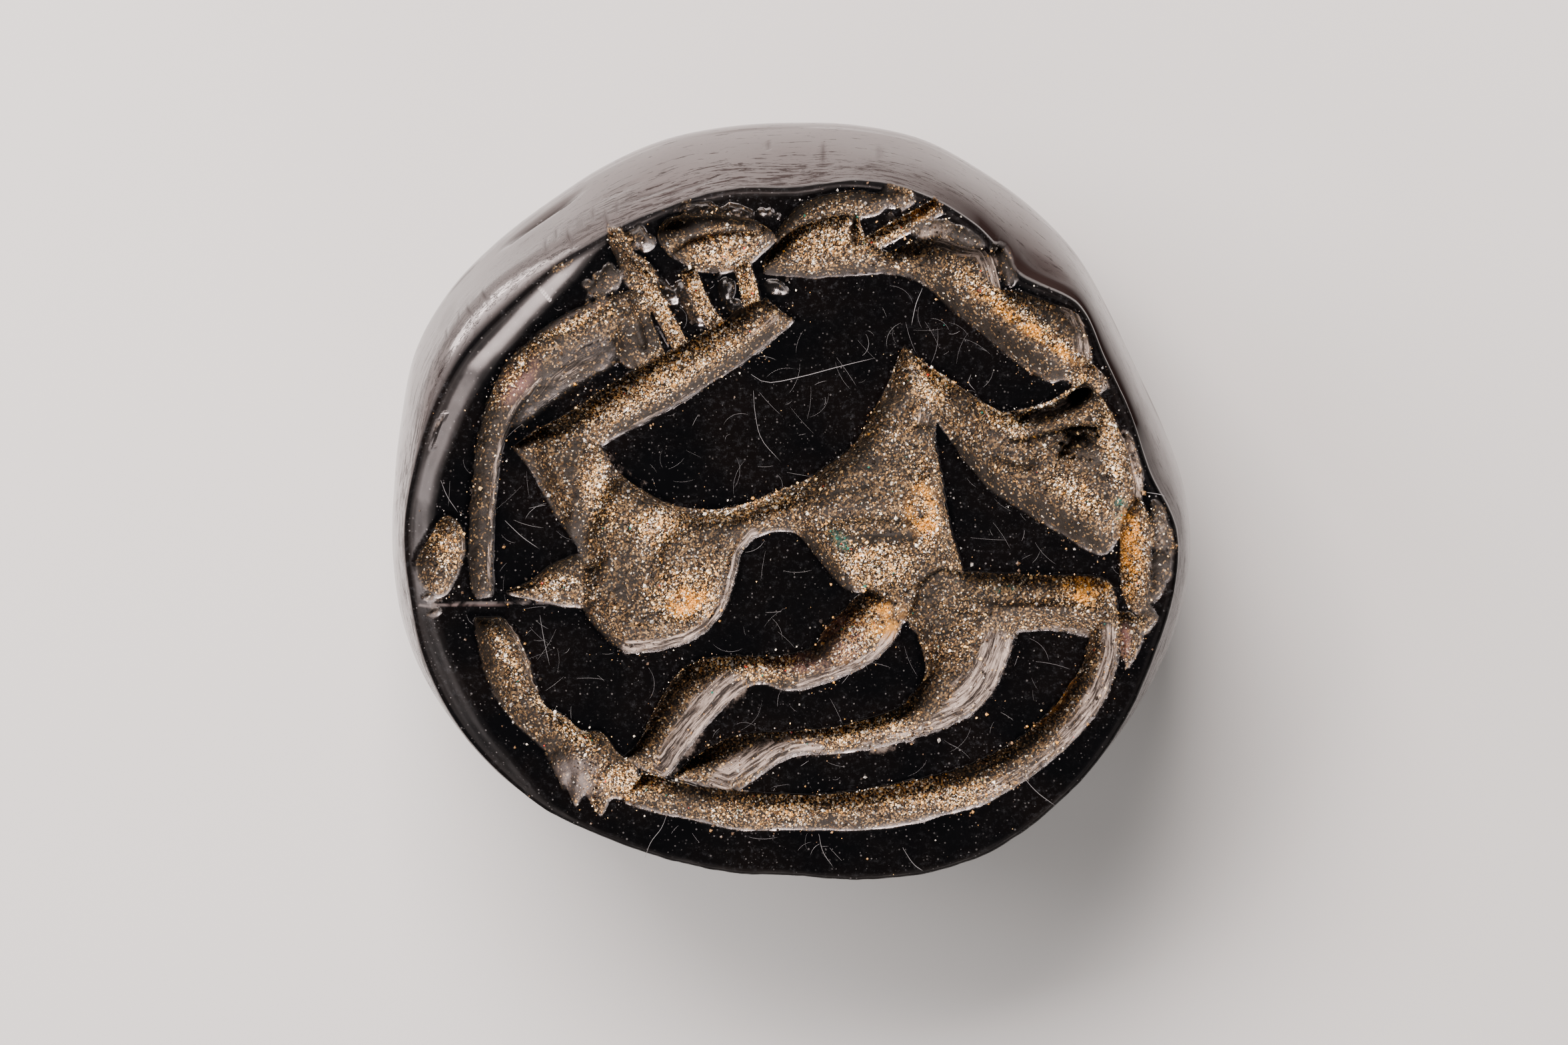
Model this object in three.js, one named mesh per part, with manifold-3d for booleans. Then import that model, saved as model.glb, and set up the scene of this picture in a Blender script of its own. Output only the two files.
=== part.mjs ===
// A stamp seal: a flat-faced pebble of black stone, engraved with a long-limbed animal inside a ring of leaves.
// Millimetres, +Z up. The seal lies on its low-domed back, with the engraved face up.
import * as THREE from 'three';
import { mergeVertices } from 'three/addons/utils/BufferGeometryUtils.js';
import Module from 'manifold-3d';

const wasm = await Module();
wasm.setup();

// Driving dimensions
const FACE_HEIGHT = 8.0;       // the engraved face above the table
const GIRTH_HEIGHT = 4.3;      // the widest section above the table
const EDGE_RUN = 0.4;          // width of the rounded edge of the face
const EDGE_DROP = 0.35;        // depth of the rounded edge
const BACK_DEPTH = 4.42;       // depth of the full dome below the girth; the table cuts off its tip
const BACK_POWER = 2.2;        // 2 is an elliptical dome, more is a fuller one
const EDGE_BEND = { run: 0.35, drop: 0.3 };  // where the rounded edge bends, as shares of its width and depth
const LIP = 0.12;              // upright part of a cut's wall, just below the face
const BODY_CUT = 0.6;          // depth of the animal's body
const LIMB_CUT = 0.75;         // depth of its limbs
const RING_CUT = 0.65;         // depth of the ring around it
const WORN_CUT = 0.32;         // depth of the ring's worn left part
const BAR_CUT = 0.4;           // depth of the thin bars
const STEEP_WALL = 0.08;       // how far a cut's wall leans in on its way to the floor
const LEAF_WALL = 0.12;
const RING_WALL = 0.2;
const LEG_WALL = 0.25;
const ISLAND_REACH = 2.0;      // how far an island's solid reaches above and below the face

// Fineness of the mesh
const ROUND_STEPS = 90;
const SIDE_STEPS = 4;
const BACK_STEPS = 10;
const CURVE_STEPS = 2;         // points on a spline for each point that it is drawn through
const CHIP_STEPS = { around: 14, down: 10 };
const MERGE_DISTANCE = 1e-5;

// Radii of the stone's outline, every 20 degrees anticlockwise from +X
const FACE_RADII = [
  9.05, 8.27, 8.54, 8.54, 8.70, 8.49, 8.47, 8.62, 8.84, 9.17, 9.31, 9.28, 8.90, 8.70, 8.85, 9.31, 9.24, 9.08,
];
const GIRTH_RADII = [
  9.33, 8.61, 8.86, 9.04, 9.02, 8.98, 9.03, 9.25, 9.60, 9.56, 9.95, 9.85, 9.45, 9.20, 9.32, 9.78, 9.82, 9.80,
];
const NOMINAL_RADIUS = 9;

// The engraved animal. A mass is a closed outline; a limb lies between two edges.
const TORSO = [
  [-6.6, 2.0], [-5.5, 2.55], [-4.55, 2.15], [-4.0, 1.4], [-3.3, 0.88], [-2.2, 0.6], [-1.2, 0.75], [0.2, 1.25],
  [1.1, 1.75], [1.7, 2.6], [2.2, 3.7], [2.6, 4.55], [3.2, 3.9], [3.2, 2.4], [3.5, 0.9], [3.75, -0.9],
  [3.4, -2.0], [2.5, -2.1], [1.6, -1.5], [0.9, -0.6], [0.3, -0.1], [-0.9, -0.05], [-1.4, -1.0], [-1.75, -2.1],
  [-2.6, -2.8], [-3.6, -3.0], [-4.4, -2.75], [-5.0, -1.85], [-5.25, -0.9], [-5.2, 0.0], [-5.8, 1.1],
];
const ARM_AND_HAND = [
  [2.6, 4.5], [3.6, 3.75], [4.3, 3.2], [4.8, 2.9], [5.8, 3.25], [6.6, 3.6], [7.3, 2.95], [7.75, 2.1],
  [8.0, 0.9], [7.6, 0.05], [6.6, 0.2], [5.6, 0.65], [4.6, 1.4], [3.9, 2.15], [3.3, 2.75],
];
// Stone left standing inside the masses: two slivers in the chest
const ISLANDS = [
  [[0.7, 0.72], [1.2, 0.95], [1.7, 1.02], [1.2, 0.78]],
  [[1.5, -0.32], [2.1, -0.18], [2.9, -0.24], [2.1, -0.48]],
];
const HIND_LEG = {
  upper: [[-6.0, 2.5], [-5.1, 3.1], [-3.9, 3.9], [-2.6, 4.65], [-1.4, 5.35], [-0.7, 5.7]],
  lower: [[-5.4, 1.6], [-4.5, 2.2], [-3.5, 2.75], [-2.2, 3.55], [-1.1, 4.3], [0.05, 5.2]],
};
const TOES = [
  [[-3.3, 6.4], [-3.0, 5.5], [-2.55, 4.5]],
  [[-2.4, 6.45], [-2.15, 5.8], [-1.75, 5.0]],
  [[-1.1, 6.5], [-0.9, 5.9], [-0.8, 5.4]],
];
const TOE_WIDTH = 0.36;
const FORE_LEG = {
  upper: [[1.7, -1.3], [1.2, -2.1], [0.6, -2.9], [-0.5, -3.1], [-1.8, -3.15], [-2.7, -3.5], [-3.4, -4.6], [-4.1, -5.8]],
  lower: [[2.6, -2.1], [2.1, -3.0], [1.1, -3.7], [0.0, -3.95], [-1.0, -3.9], [-1.8, -4.6], [-2.6, -5.6], [-3.1, -6.3]],
};
const MIDDLE_LEG = {
  upper: [[3.0, -1.8], [3.15, -3.1], [3.0, -4.1], [2.0, -4.65], [0.5, -4.93], [-1.1, -5.0], [-2.1, -5.45], [-3.0, -6.2]],
  lower: [[5.6, -2.2], [5.0, -3.3], [4.5, -4.3], [3.4, -4.95], [1.8, -5.45], [0.2, -5.6], [-0.9, -6.15], [-1.6, -6.7]],
};
const HIP = [
  [3.3, -1.0], [5.2, -1.03], [6.9, -1.1], [7.5, -1.4], [7.7, -2.2], [7.4, -2.7], [6.4, -2.5], [5.2, -2.5], [4.0, -2.7],
  [3.2, -2.1],
];

// The ring around the animal
const LOWER_RING = {
  upper: [[7.0, -2.4], [6.5, -3.9], [5.5, -5.05], [4.1, -5.88], [2.2, -6.4], [0.2, -6.56], [-1.6, -6.45], [-3.4, -6.0]],
  lower: [[7.7, -2.2], [7.45, -3.8], [6.6, -5.2], [5.0, -6.5], [3.0, -7.3], [0.8, -7.5], [-1.6, -7.5], [-4.0, -6.8]],
};
const LOWER_LEFT_RING = {
  upper: [[-7.1, -2.2], [-6.6, -3.3], [-6.1, -4.15], [-5.2, -4.8], [-4.3, -5.2], [-3.6, -6.0]],
  lower: [[-7.6, -2.4], [-7.3, -3.7], [-6.4, -5.0], [-5.5, -5.8], [-5.2, -6.8], [-3.6, -6.9]],
};
const LEFT_RING = {
  upper: [[-3.5, 5.9], [-4.9, 5.4], [-6.3, 4.7], [-6.9, 3.8], [-7.25, 2.4], [-7.55, 0.6], [-7.5, -1.4]],
  lower: [[-3.5, 4.5], [-4.7, 4.9], [-5.8, 4.2], [-6.5, 3.1], [-6.9, 2.0], [-7.1, 0.4], [-7.1, -1.4]],
};
const LEAVES = [
  [[2.3, 6.3], [3.5, 6.0], [4.4, 5.4], [4.85, 5.95], [4.4, 6.8], [3.2, 6.8], [2.3, 7.0]],
  [[4.0, 5.65], [5.2, 4.85], [6.3, 4.05], [6.95, 4.15], [6.75, 5.05], [6.0, 5.55], [4.9, 5.7]],
  [[6.2, 4.2], [6.7, 3.5], [7.35, 3.6], [6.95, 4.3]],
  [[-0.7, 6.4], [0.8, 6.25], [2.6, 6.3], [2.6, 6.9], [1.7, 7.6], [0.8, 7.85], [-0.2, 7.4]],
  [[-2.7, 6.5], [-1.7, 6.4], [-0.6, 6.85], [-0.7, 7.3], [-1.7, 7.6], [-2.6, 7.3]],
  [[-4.3, 7.2], [-3.9, 6.3], [-3.3, 6.3], [-3.3, 6.9], [-3.9, 7.4]],
  [[7.7, 0.4], [7.65, -0.8], [8.0, -1.9], [8.4, -1.8], [8.35, -0.6], [8.2, 0.6]],
  [[7.65, -1.9], [8.15, -1.95], [8.3, -2.6], [8.1, -3.25], [7.8, -3.3], [7.6, -2.6]],
];

// Chips out of the stone: centre, half-size along x, y and z, and turn in degrees
const CHIPS = [
  { at: [6.3, 7.35, 8.1], half: [1.9, 0.75, 1.2], turn: -40 },
  { at: [-1.8, 7.75, 8.0], half: [1.0, 0.35, 0.4], turn: 0 },
  { at: [-8.2, -0.6, 8.05], half: [0.45, 0.9, 0.45], turn: 8 },
  { at: [8.75, -0.7, 8.1], half: [0.4, 1.4, 0.5], turn: 0 },
];

function catmullRom(before, start, end, after, t) {
  const slopeStart = (end - before) / 2;
  const slopeEnd = (after - start) / 2;
  const cubic = 2 * start - 2 * end + slopeStart + slopeEnd;
  const square = -3 * start + 3 * end - 2 * slopeStart - slopeEnd;
  return ((cubic * t + square) * t + slopeStart) * t + start;
}

function radiusAt(radii, angle) {
  const turn = THREE.MathUtils.euclideanModulo(angle / (2 * Math.PI), 1) * radii.length;
  const index = Math.floor(turn);
  const at = (step) => radii[(index + step + radii.length) % radii.length];
  return catmullRom(at(-1), at(0), at(1), at(2), turn - index);
}

// The outline's radius at an angle and a height: the side swells from the face edge to the girth.
function outlineRadius(angle, height) {
  const face = radiusAt(FACE_RADII, angle);
  const girth = radiusAt(GIRTH_RADII, angle);
  const sideHeight = FACE_HEIGHT - EDGE_DROP - GIRTH_HEIGHT;
  const drop = THREE.MathUtils.clamp((FACE_HEIGHT - EDGE_DROP - height) / sideHeight, 0, 1);
  return face + (girth - face) * Math.sin(drop * Math.PI / 2);
}

// Half section of the stone at the nominal radius, from the table up to the middle of the face
function sectionProfile() {
  const points = [new THREE.Vector2(0, 0)];
  for (let step = 0; step < BACK_STEPS; step += 1) {
    const height = GIRTH_HEIGHT * (1 - Math.cos(step / BACK_STEPS * Math.PI / 2));
    const depth = (GIRTH_HEIGHT - height) / BACK_DEPTH;
    const fraction = (1 - depth ** BACK_POWER) ** (1 / BACK_POWER);
    points.push(new THREE.Vector2(NOMINAL_RADIUS * fraction, height));
  }
  for (let step = 0; step <= SIDE_STEPS; step += 1) {
    const height = THREE.MathUtils.lerp(GIRTH_HEIGHT, FACE_HEIGHT - EDGE_DROP, step / SIDE_STEPS);
    points.push(new THREE.Vector2(NOMINAL_RADIUS, height));
  }
  points.push(new THREE.Vector2(NOMINAL_RADIUS - EDGE_RUN * EDGE_BEND.run, FACE_HEIGHT - EDGE_DROP * EDGE_BEND.drop));
  points.push(new THREE.Vector2(NOMINAL_RADIUS - EDGE_RUN, FACE_HEIGHT));
  points.push(new THREE.Vector2(0, FACE_HEIGHT));
  return points;
}

function stoneGeometry() {
  const geometry = new THREE.LatheGeometry(sectionProfile(), ROUND_STEPS);
  geometry.rotateX(Math.PI / 2);
  const position = geometry.getAttribute('position');
  for (let index = 0; index < position.count; index += 1) {
    const [x, y, z] = [position.getX(index), position.getY(index), position.getZ(index)];
    const scale = outlineRadius(Math.atan2(y, x), z) / NOMINAL_RADIUS;
    position.setXYZ(index, x * scale, y * scale, z);
  }
  return geometry;
}

const vectors = (points) => points.map(([x, y]) => new THREE.Vector2(x, y));

function massShape(points) {
  const [first, ...rest] = vectors(points);
  const shape = new THREE.Shape();
  shape.moveTo(first.x, first.y);
  shape.splineThru([...rest, first]);
  return shape;
}

function limbShape({ upper, lower }) {
  const [first, ...out] = vectors(lower);
  const back = vectors(upper).reverse();
  const shape = new THREE.Shape();
  shape.moveTo(first.x, first.y);
  shape.splineThru(out);
  shape.lineTo(back[0].x, back[0].y);
  shape.splineThru(back.slice(1));
  shape.closePath();
  return shape;
}

function barShape(points, width) {
  const curve = new THREE.SplineCurve(vectors(points));
  const edge = (side) => points.map((_, index) => {
    const t = index / (points.length - 1);
    const middle = curve.getPoint(t);
    const tangent = curve.getTangent(t);
    return [middle.x - side * tangent.y * width / 2, middle.y + side * tangent.x * width / 2];
  });
  return limbShape({ upper: edge(1), lower: edge(-1) });
}

// What the engraver took away inside a shape: upright at the lip, then sloping in to the floor
function cutGeometry(shape, depth, slope) {
  const geometry = new THREE.ExtrudeGeometry(shape, {
    depth: 1,
    curveSegments: CURVE_STEPS,
    bevelSegments: 1,
    bevelThickness: depth - LIP,
    bevelSize: slope,
    bevelOffset: -slope,
  });
  return geometry.translate(0, 0, FACE_HEIGHT - LIP);
}

function islandGeometry(points) {
  const geometry = new THREE.ExtrudeGeometry(massShape(points), {
    depth: 2 * ISLAND_REACH,
    curveSegments: CURVE_STEPS,
    bevelEnabled: false,
  });
  return geometry.translate(0, 0, FACE_HEIGHT - ISLAND_REACH);
}

function chipGeometry({ at, half, turn }) {
  const geometry = new THREE.SphereGeometry(1, CHIP_STEPS.around, CHIP_STEPS.down);
  geometry.scale(...half);
  geometry.rotateZ(THREE.MathUtils.degToRad(turn));
  return geometry.translate(...at);
}

function solidOf(geometry) {
  const bare = new THREE.BufferGeometry();
  bare.setAttribute('position', geometry.getAttribute('position'));
  bare.setIndex(geometry.index);
  const merged = mergeVertices(bare, MERGE_DISTANCE);
  const corners = merged.index.array;
  const triangles = [];
  for (let index = 0; index < corners.length; index += 3) {
    const [a, b, c] = corners.slice(index, index + 3);
    if (a !== b && b !== c && c !== a) triangles.push(a, b, c);
  }
  return new wasm.Manifold(new wasm.Mesh({
    numProp: 3,
    vertProperties: Float32Array.from(merged.getAttribute('position').array),
    triVerts: Uint32Array.from(triangles),
  }));
}

function geometryOf(solid) {
  const mesh = solid.getMesh();
  const geometry = new THREE.BufferGeometry();
  geometry.setAttribute('position', new THREE.BufferAttribute(mesh.vertProperties, 3));
  geometry.setIndex(new THREE.BufferAttribute(mesh.triVerts, 1));
  return geometry;
}

function engraving() {
  return [
    cutGeometry(massShape(TORSO), BODY_CUT, STEEP_WALL),
    cutGeometry(massShape(ARM_AND_HAND), LIMB_CUT, STEEP_WALL),
    cutGeometry(massShape(HIP), LIMB_CUT, RING_WALL),
    cutGeometry(limbShape(HIND_LEG), LIMB_CUT, RING_WALL),
    cutGeometry(limbShape(FORE_LEG), LIMB_CUT, LEG_WALL),
    cutGeometry(limbShape(MIDDLE_LEG), LIMB_CUT, LEG_WALL),
    ...TOES.map((toe) => cutGeometry(barShape(toe, TOE_WIDTH), BAR_CUT, STEEP_WALL)),
    cutGeometry(limbShape(LOWER_RING), RING_CUT, RING_WALL),
    cutGeometry(limbShape(LOWER_LEFT_RING), RING_CUT, RING_WALL),
    cutGeometry(limbShape(LEFT_RING), WORN_CUT, LEAF_WALL),
    ...LEAVES.map((leaf) => cutGeometry(massShape(leaf), RING_CUT, LEAF_WALL)),
  ];
}

const joined = (geometries) => geometries.map(solidOf).reduce((whole, solid) => whole.add(solid));

function sealGeometry() {
  const cut = joined(engraving()).subtract(joined(ISLANDS.map(islandGeometry)));
  const chips = joined(CHIPS.map(chipGeometry));
  const geometry = geometryOf(solidOf(stoneGeometry()).subtract(cut).subtract(chips));
  geometry.computeBoundingBox();
  const centre = geometry.boundingBox.getCenter(new THREE.Vector3());
  return geometry.translate(-centre.x, -centre.y, 0);
}

const blackStone = new THREE.MeshStandardMaterial({ color: 0x17161a, roughness: 0.2, metalness: 0 });
const sealStone = new THREE.Mesh(sealGeometry(), blackStone);
sealStone.name = 'seal_stone';

const seal = new THREE.Group();
seal.add(sealStone);

export default seal;
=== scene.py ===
"""Looks of a stamp seal: a pebble of polished black stone, engraved with a long-limbed animal.

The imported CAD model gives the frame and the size. One dense mesh replaces its stone: the same outline and
cuts, with sloping walls, chips and rough floors. Sand grains in the cuts and lint on the face are meshes too.
The drawing is in millimetres, with its origin near the middle of the face, +X right and +Y up.
"""
import math

import bpy
import numpy as np
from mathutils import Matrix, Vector


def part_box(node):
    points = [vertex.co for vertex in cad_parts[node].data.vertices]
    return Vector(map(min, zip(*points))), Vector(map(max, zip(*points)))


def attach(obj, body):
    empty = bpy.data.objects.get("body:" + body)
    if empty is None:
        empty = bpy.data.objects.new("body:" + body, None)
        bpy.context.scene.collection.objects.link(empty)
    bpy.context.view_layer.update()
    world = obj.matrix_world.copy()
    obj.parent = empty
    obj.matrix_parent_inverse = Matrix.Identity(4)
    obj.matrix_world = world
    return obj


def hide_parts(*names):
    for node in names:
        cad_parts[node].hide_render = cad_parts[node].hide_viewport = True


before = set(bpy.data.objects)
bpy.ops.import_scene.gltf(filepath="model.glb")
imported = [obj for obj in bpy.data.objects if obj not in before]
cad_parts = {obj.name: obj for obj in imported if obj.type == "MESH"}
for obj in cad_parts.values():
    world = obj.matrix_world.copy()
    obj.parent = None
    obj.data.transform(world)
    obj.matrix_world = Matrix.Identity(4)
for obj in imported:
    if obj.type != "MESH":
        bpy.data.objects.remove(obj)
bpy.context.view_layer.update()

MM = 0.001
LOW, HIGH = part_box("seal_stone")
FACE_HEIGHT = (HIGH.z - LOW.z) / MM
GIRTH_HEIGHT = 0.5375 * FACE_HEIGHT     # the widest section above the table
EDGE_RUN = 0.1                          # width and depth of the rounded edge of the face
EDGE_DROP = 0.1
BACK_DEPTH = 0.5525 * FACE_HEIGHT       # depth of the full dome; the table cuts off its tip
BACK_POWER = 2.2                        # 2 is an elliptical dome, more is a fuller one

CURVE_STEPS = 6            # points on an outline for each point that it is drawn through
STROKE_STEPS = 4           # the same for a ridge or a painted stroke
FACE_CELLS = 280           # cells along each side of the face's grid
SIDE_ROWS = 24
BACK_ROWS = 14
ON_FACE, ON_SIDE, ON_BACK = 0, 1, 2
SNAP_REACH = 0.378         # how far a grid point moves to lie on an outline, in cells
CUT_MARGIN = 0.8           # how far outside its outline a cut is still measured
FAR = 9.0                  # farther than any place on the face is from an outline
TINY = 1e-6
GRAINS = 24500             # in each of the three sand meshes
HAIRS = 140
HAIR_STOPS = 12
RANDOM = np.random.default_rng(7)

EDGE_WANDER = 0.045        # how far the edges of the cuts waver, in mm
EDGE_SHIVER = 0.008        # and how far they do so on the smallest scale
RIDGE_GAIN = 1.35          # true height of a ridge for each mm in its row
GRIT_HEIGHT = 0.05         # roughness of the cut stone, in mm
FINE_GRIT_HEIGHT = 0.025
DIP_DEPTH = 0.004          # slow dips of the polished ground
PALE_LOSS = 0.78           # how much less sand lies on pale stone, and on dark stone
DARK_LOSS = 0.95
LIP_WIDTH = 0.16           # width of the plain strip on both sides of an outline
LIP_FADE = 0.06
LATTICE = 256              # the noise repeats after this many cells
LATTICE_SHIFT = 1000
LAYERED_RANGE = 1.6        # about the largest sum of the layers of noise

# Radii of the face's edge and of the widest section, every 10 degrees anticlockwise from +X
FACE_RADII = np.array([
    9.02, 8.50, 8.42, 8.43, 8.66, 8.20, 8.60, 8.77, 8.70, 8.40, 8.49, 8.46,
    8.47, 8.54, 8.64, 8.86, 8.97, 9.05, 9.17, 9.20, 9.31, 9.34, 9.27, 9.13,
    8.89, 8.77, 8.70, 8.65, 8.88, 9.14, 9.31, 9.29, 9.24, 9.16, 9.08, 9.10,
])
GIRTH_RADII = np.array([
    9.33, 8.92, 8.66, 8.66, 8.80, 8.85, 8.90, 9.00, 8.94, 8.87, 8.91, 9.00,
    9.02, 9.06, 9.25, 9.49, 9.61, 9.52, 9.57, 9.76, 9.95, 9.99, 9.85, 9.65,
    9.45, 9.30, 9.22, 9.22, 9.33, 9.56, 9.76, 9.82, 9.82, 9.82, 9.79, 9.66,
])
# A worn terrace inside the left edge: its width every 10 degrees, and how far it drops
TERRACE_WIDTHS = np.array([0] * 12 + [
    0.1, 0.56, 0.7, 0.74, 0.76, 0.7, 0.68, 0.6, 0.64, 0.64, 0.54, 0.25] + [0] * 12)
TERRACE_RUN = 0.6          # width of the slope down to its foot
TERRACE_DROP = 0.2
# How dull the side is near the face, every 30 degrees anticlockwise from +X, and the height in mm where
# that starts, with how much higher it is full
SIDE_SHADES = np.array([0.8, 1.1, 1.0, 0.35, 0.15, 0.0, 0.1, 0.2, 0.2, 0.2, 0.2, 0.5])
SHADE_START = 4.6
SHADE_RISE = 2.8
# The bevelled corner of the side, in degrees, and how much of the height it takes
BEVEL_MIDDLE = 141
BEVEL_REACH = 34
BEVEL_SHARE = 0.2
# Hollows in the side: place round the stone in degrees, height, half sizes in degrees and mm, depth
SIDE_DENTS = [
    (131, 5.0, 9, 0.35, 0.12), (112, 6.9, 5, 0.14, 0.06),
    (118, 6.2, 6, 0.12, 0.05), (104, 7.1, 5, 0.1, 0.05), (46, 6.9, 6, 0.5, 0.12), (300, 5.2, 7, 0.6, 0.12),
    (225, 6.0, 5, 0.4, 0.06), (262, 4.9, 8, 0.3, 0.06), (345, 5.8, 6, 0.5, 0.05),
]
# Dull smears on the side: place round the stone in degrees, height, half sizes in degrees and mm, strength
SIDE_SMEARS = [
    (85.5, 6.2, 0.8, 0.9, 0.8), (85.5, 6.9, 2.6, 0.12, 0.8), (77, 6.0, 1.0, 0.8, 0.6),
    (77.5, 6.8, 2.2, 0.12, 0.7), (94, 5.6, 0.6, 0.4, 0.7), (131, 5.0, 8, 0.3, 0.9),
    (112, 7.0, 6, 0.1, 0.8), (107, 7.3, 5, 0.08, 0.8),
    (48, 6.6, 6, 0.9, 0.45), (38, 6.0, 4, 0.5, 0.4), (150, 6.2, 3, 0.8, 0.4), (66, 7.3, 5, 0.1, 0.6),
    *[(116 + 2.1 * step, 6.9 + 0.2 * (step % 3), 0.5, 0.5, 0.75) for step in range(8)],
    *[(142 + 1.7 * step, 7.3 - 0.2 * (step % 2), 0.4, 0.35, 0.7) for step in range(6)],
]


# ---------------------------------------------------------------- curves and distances

def catmull_rom(a, b, c, d, t):
    """The place between b and c on a smooth curve that passes a, b, c and d."""
    return 0.5 * (2 * b + (c - a) * t + (2 * a - 5 * b + 4 * c - d) * t**2 + (3 * b - a - 3 * c + d) * t**3)


def between(stops, steps):
    """The smooth curve through the stops, from the second to just before the last but one."""
    t = np.linspace(0, 1, steps, endpoint=False)[:, None]
    return np.vstack([catmull_rom(*four, t) for four in zip(stops, stops[1:], stops[2:], stops[3:])])


def spline(points, steps=CURVE_STEPS):
    """A smooth open curve through the points, as an array."""
    p = np.asarray(points, float)
    return np.vstack([between(np.vstack([2 * p[0] - p[1], p, 2 * p[-1] - p[-2]]), steps), p[-1:]])


def anticlockwise(points):
    """A closed outline's points, turned round where they run clockwise."""
    x, y = points.T
    area = np.sum(x * np.roll(y, -1) - np.roll(x, -1) * y)
    return points if area > 0 else points[::-1]


def outline(*runs):
    """A closed outline from smooth runs that meet in corners. Each run starts where the one before ends."""
    starts = [run[-1] for run in (runs[-1], *runs)]
    return anticlockwise(np.vstack([spline([start, *run])[:-1] for start, run in zip(starts, runs)]))


def rounded(points):
    """A closed outline with no corners."""
    return anticlockwise(between(np.vstack([points[-1:], points, points[:2]]), CURVE_STEPS))


def band(upper, lower):
    """The outline between two edges that run the same way."""
    back = lower[::-1]
    return outline(upper[1:], back[:1], back[1:], upper[:1])


def bar(points, width):
    """The outline of a straight-sided stroke along a centre line."""
    along = np.gradient(np.array(points), axis=0)
    along /= np.linalg.norm(along, axis=1, keepdims=True)
    half = width / 2 * np.column_stack([-along[:, 1], along[:, 0]])
    return band(points + half, points - half)


def smooth(x):
    """0 below 0, 1 above 1, and a soft step between."""
    x = np.clip(x, 0, 1)
    return x * x * (3 - 2 * x)


def periodic(values, angle):
    """Smooth interpolation of values spaced evenly round a circle."""
    turn = np.mod(angle / (2 * math.pi), 1) * len(values)
    i = np.floor(turn).astype(int)
    return catmull_rom(*(values[(i + step) % len(values)] for step in (-1, 0, 1, 2)), turn - i)


def lattice_noise(x, y, cell, seed):
    """Smooth noise from -1 to 1 with features about as wide as cell."""
    grid = np.random.default_rng(seed).uniform(-1, 1, (LATTICE, LATTICE))
    u, v = x / cell + LATTICE_SHIFT, y / cell + LATTICE_SHIFT
    i, j = np.floor(u).astype(int), np.floor(v).astype(int)
    across, up = smooth(u - i), smooth(v - j)

    def row(step):
        level = (j + step) % LATTICE
        return grid[i % LATTICE, level] * (1 - across) + grid[(i + 1) % LATTICE, level] * across

    return row(0) * (1 - up) + row(1) * up


def layered_noise(x, y, cell, seed):
    """Three layers of noise, each half as wide and half as strong as the one before."""
    layers = (lattice_noise(x, y, cell / 2**layer, seed + layer) / 2**layer for layer in range(3))
    return sum(layers) / LAYERED_RANGE


def way_to_line(x, y, start, end):
    """The way from each place to the nearest point of a straight line, and its length."""
    (ax, ay), (dx, dy) = start, end - start
    t = np.clip(((x - ax) * dx + (y - ay) * dy) / (dx * dx + dy * dy + TINY**2), 0, 1)
    way_x, way_y = ax + t * dx - x, ay + t * dy - y
    return way_x, way_y, np.hypot(way_x, way_y)


def boxed(x, y, points, margin):
    """Which places lie in the box around the points, with a margin."""
    low, high = points.min(0) - margin, points.max(0) + margin
    return (x > low[0]) & (x < high[0]) & (y > low[1]) & (y < high[1])


class Cut:
    """An area cut into the face, or with hollow=False an island left in one, `top` mm below the face.

    Its walls are `gentle` mm wide where they face +Y and `steep` mm elsewhere.
    """

    def __init__(self, points, depth, gentle, steep, hollow=True, top=0.0):
        self.points = points
        self.ends = np.roll(points, -1, axis=0)
        self.depth = depth
        self.hollow = hollow
        self.top = top
        along = self.ends - points
        inward_y = along[:, 0] / np.maximum(np.linalg.norm(along, axis=1), TINY) * (1 if hollow else -1)
        self.run = steep + (gentle - steep) * smooth(0.5 + 0.75 * inward_y)

    def near(self, x, y):
        return boxed(x, y, self.points, CUT_MARGIN)

    def measure(self, x, y):
        """Signed distance to the outline (plus is inside), the way to it, and the share of a wall's run."""
        best = np.full(x.shape, FAR)
        share = np.full(x.shape, FAR / TINY)
        way = np.zeros(x.shape + (2,))
        crossings = np.zeros(x.shape, int)
        for start, end, run in zip(self.points, self.ends, self.run):
            way_x, way_y, distance = way_to_line(x, y, start, end)
            closer = distance < best
            best[closer] = distance[closer]
            way[closer] = np.column_stack([way_x[closer], way_y[closer]])
            share = np.minimum(share, distance / run)
            straddles = (start[1] > y) != (end[1] > y)
            rise = np.where(straddles, end[1] - start[1], 1.0)
            crossings += straddles & (x < start[0] + (y - start[1]) / rise * (end[0] - start[0]))
        inside = crossings % 2 == 1
        return np.where(inside, best, -best), way, share


# ---------------------------------------------------------------- the engraving

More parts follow.
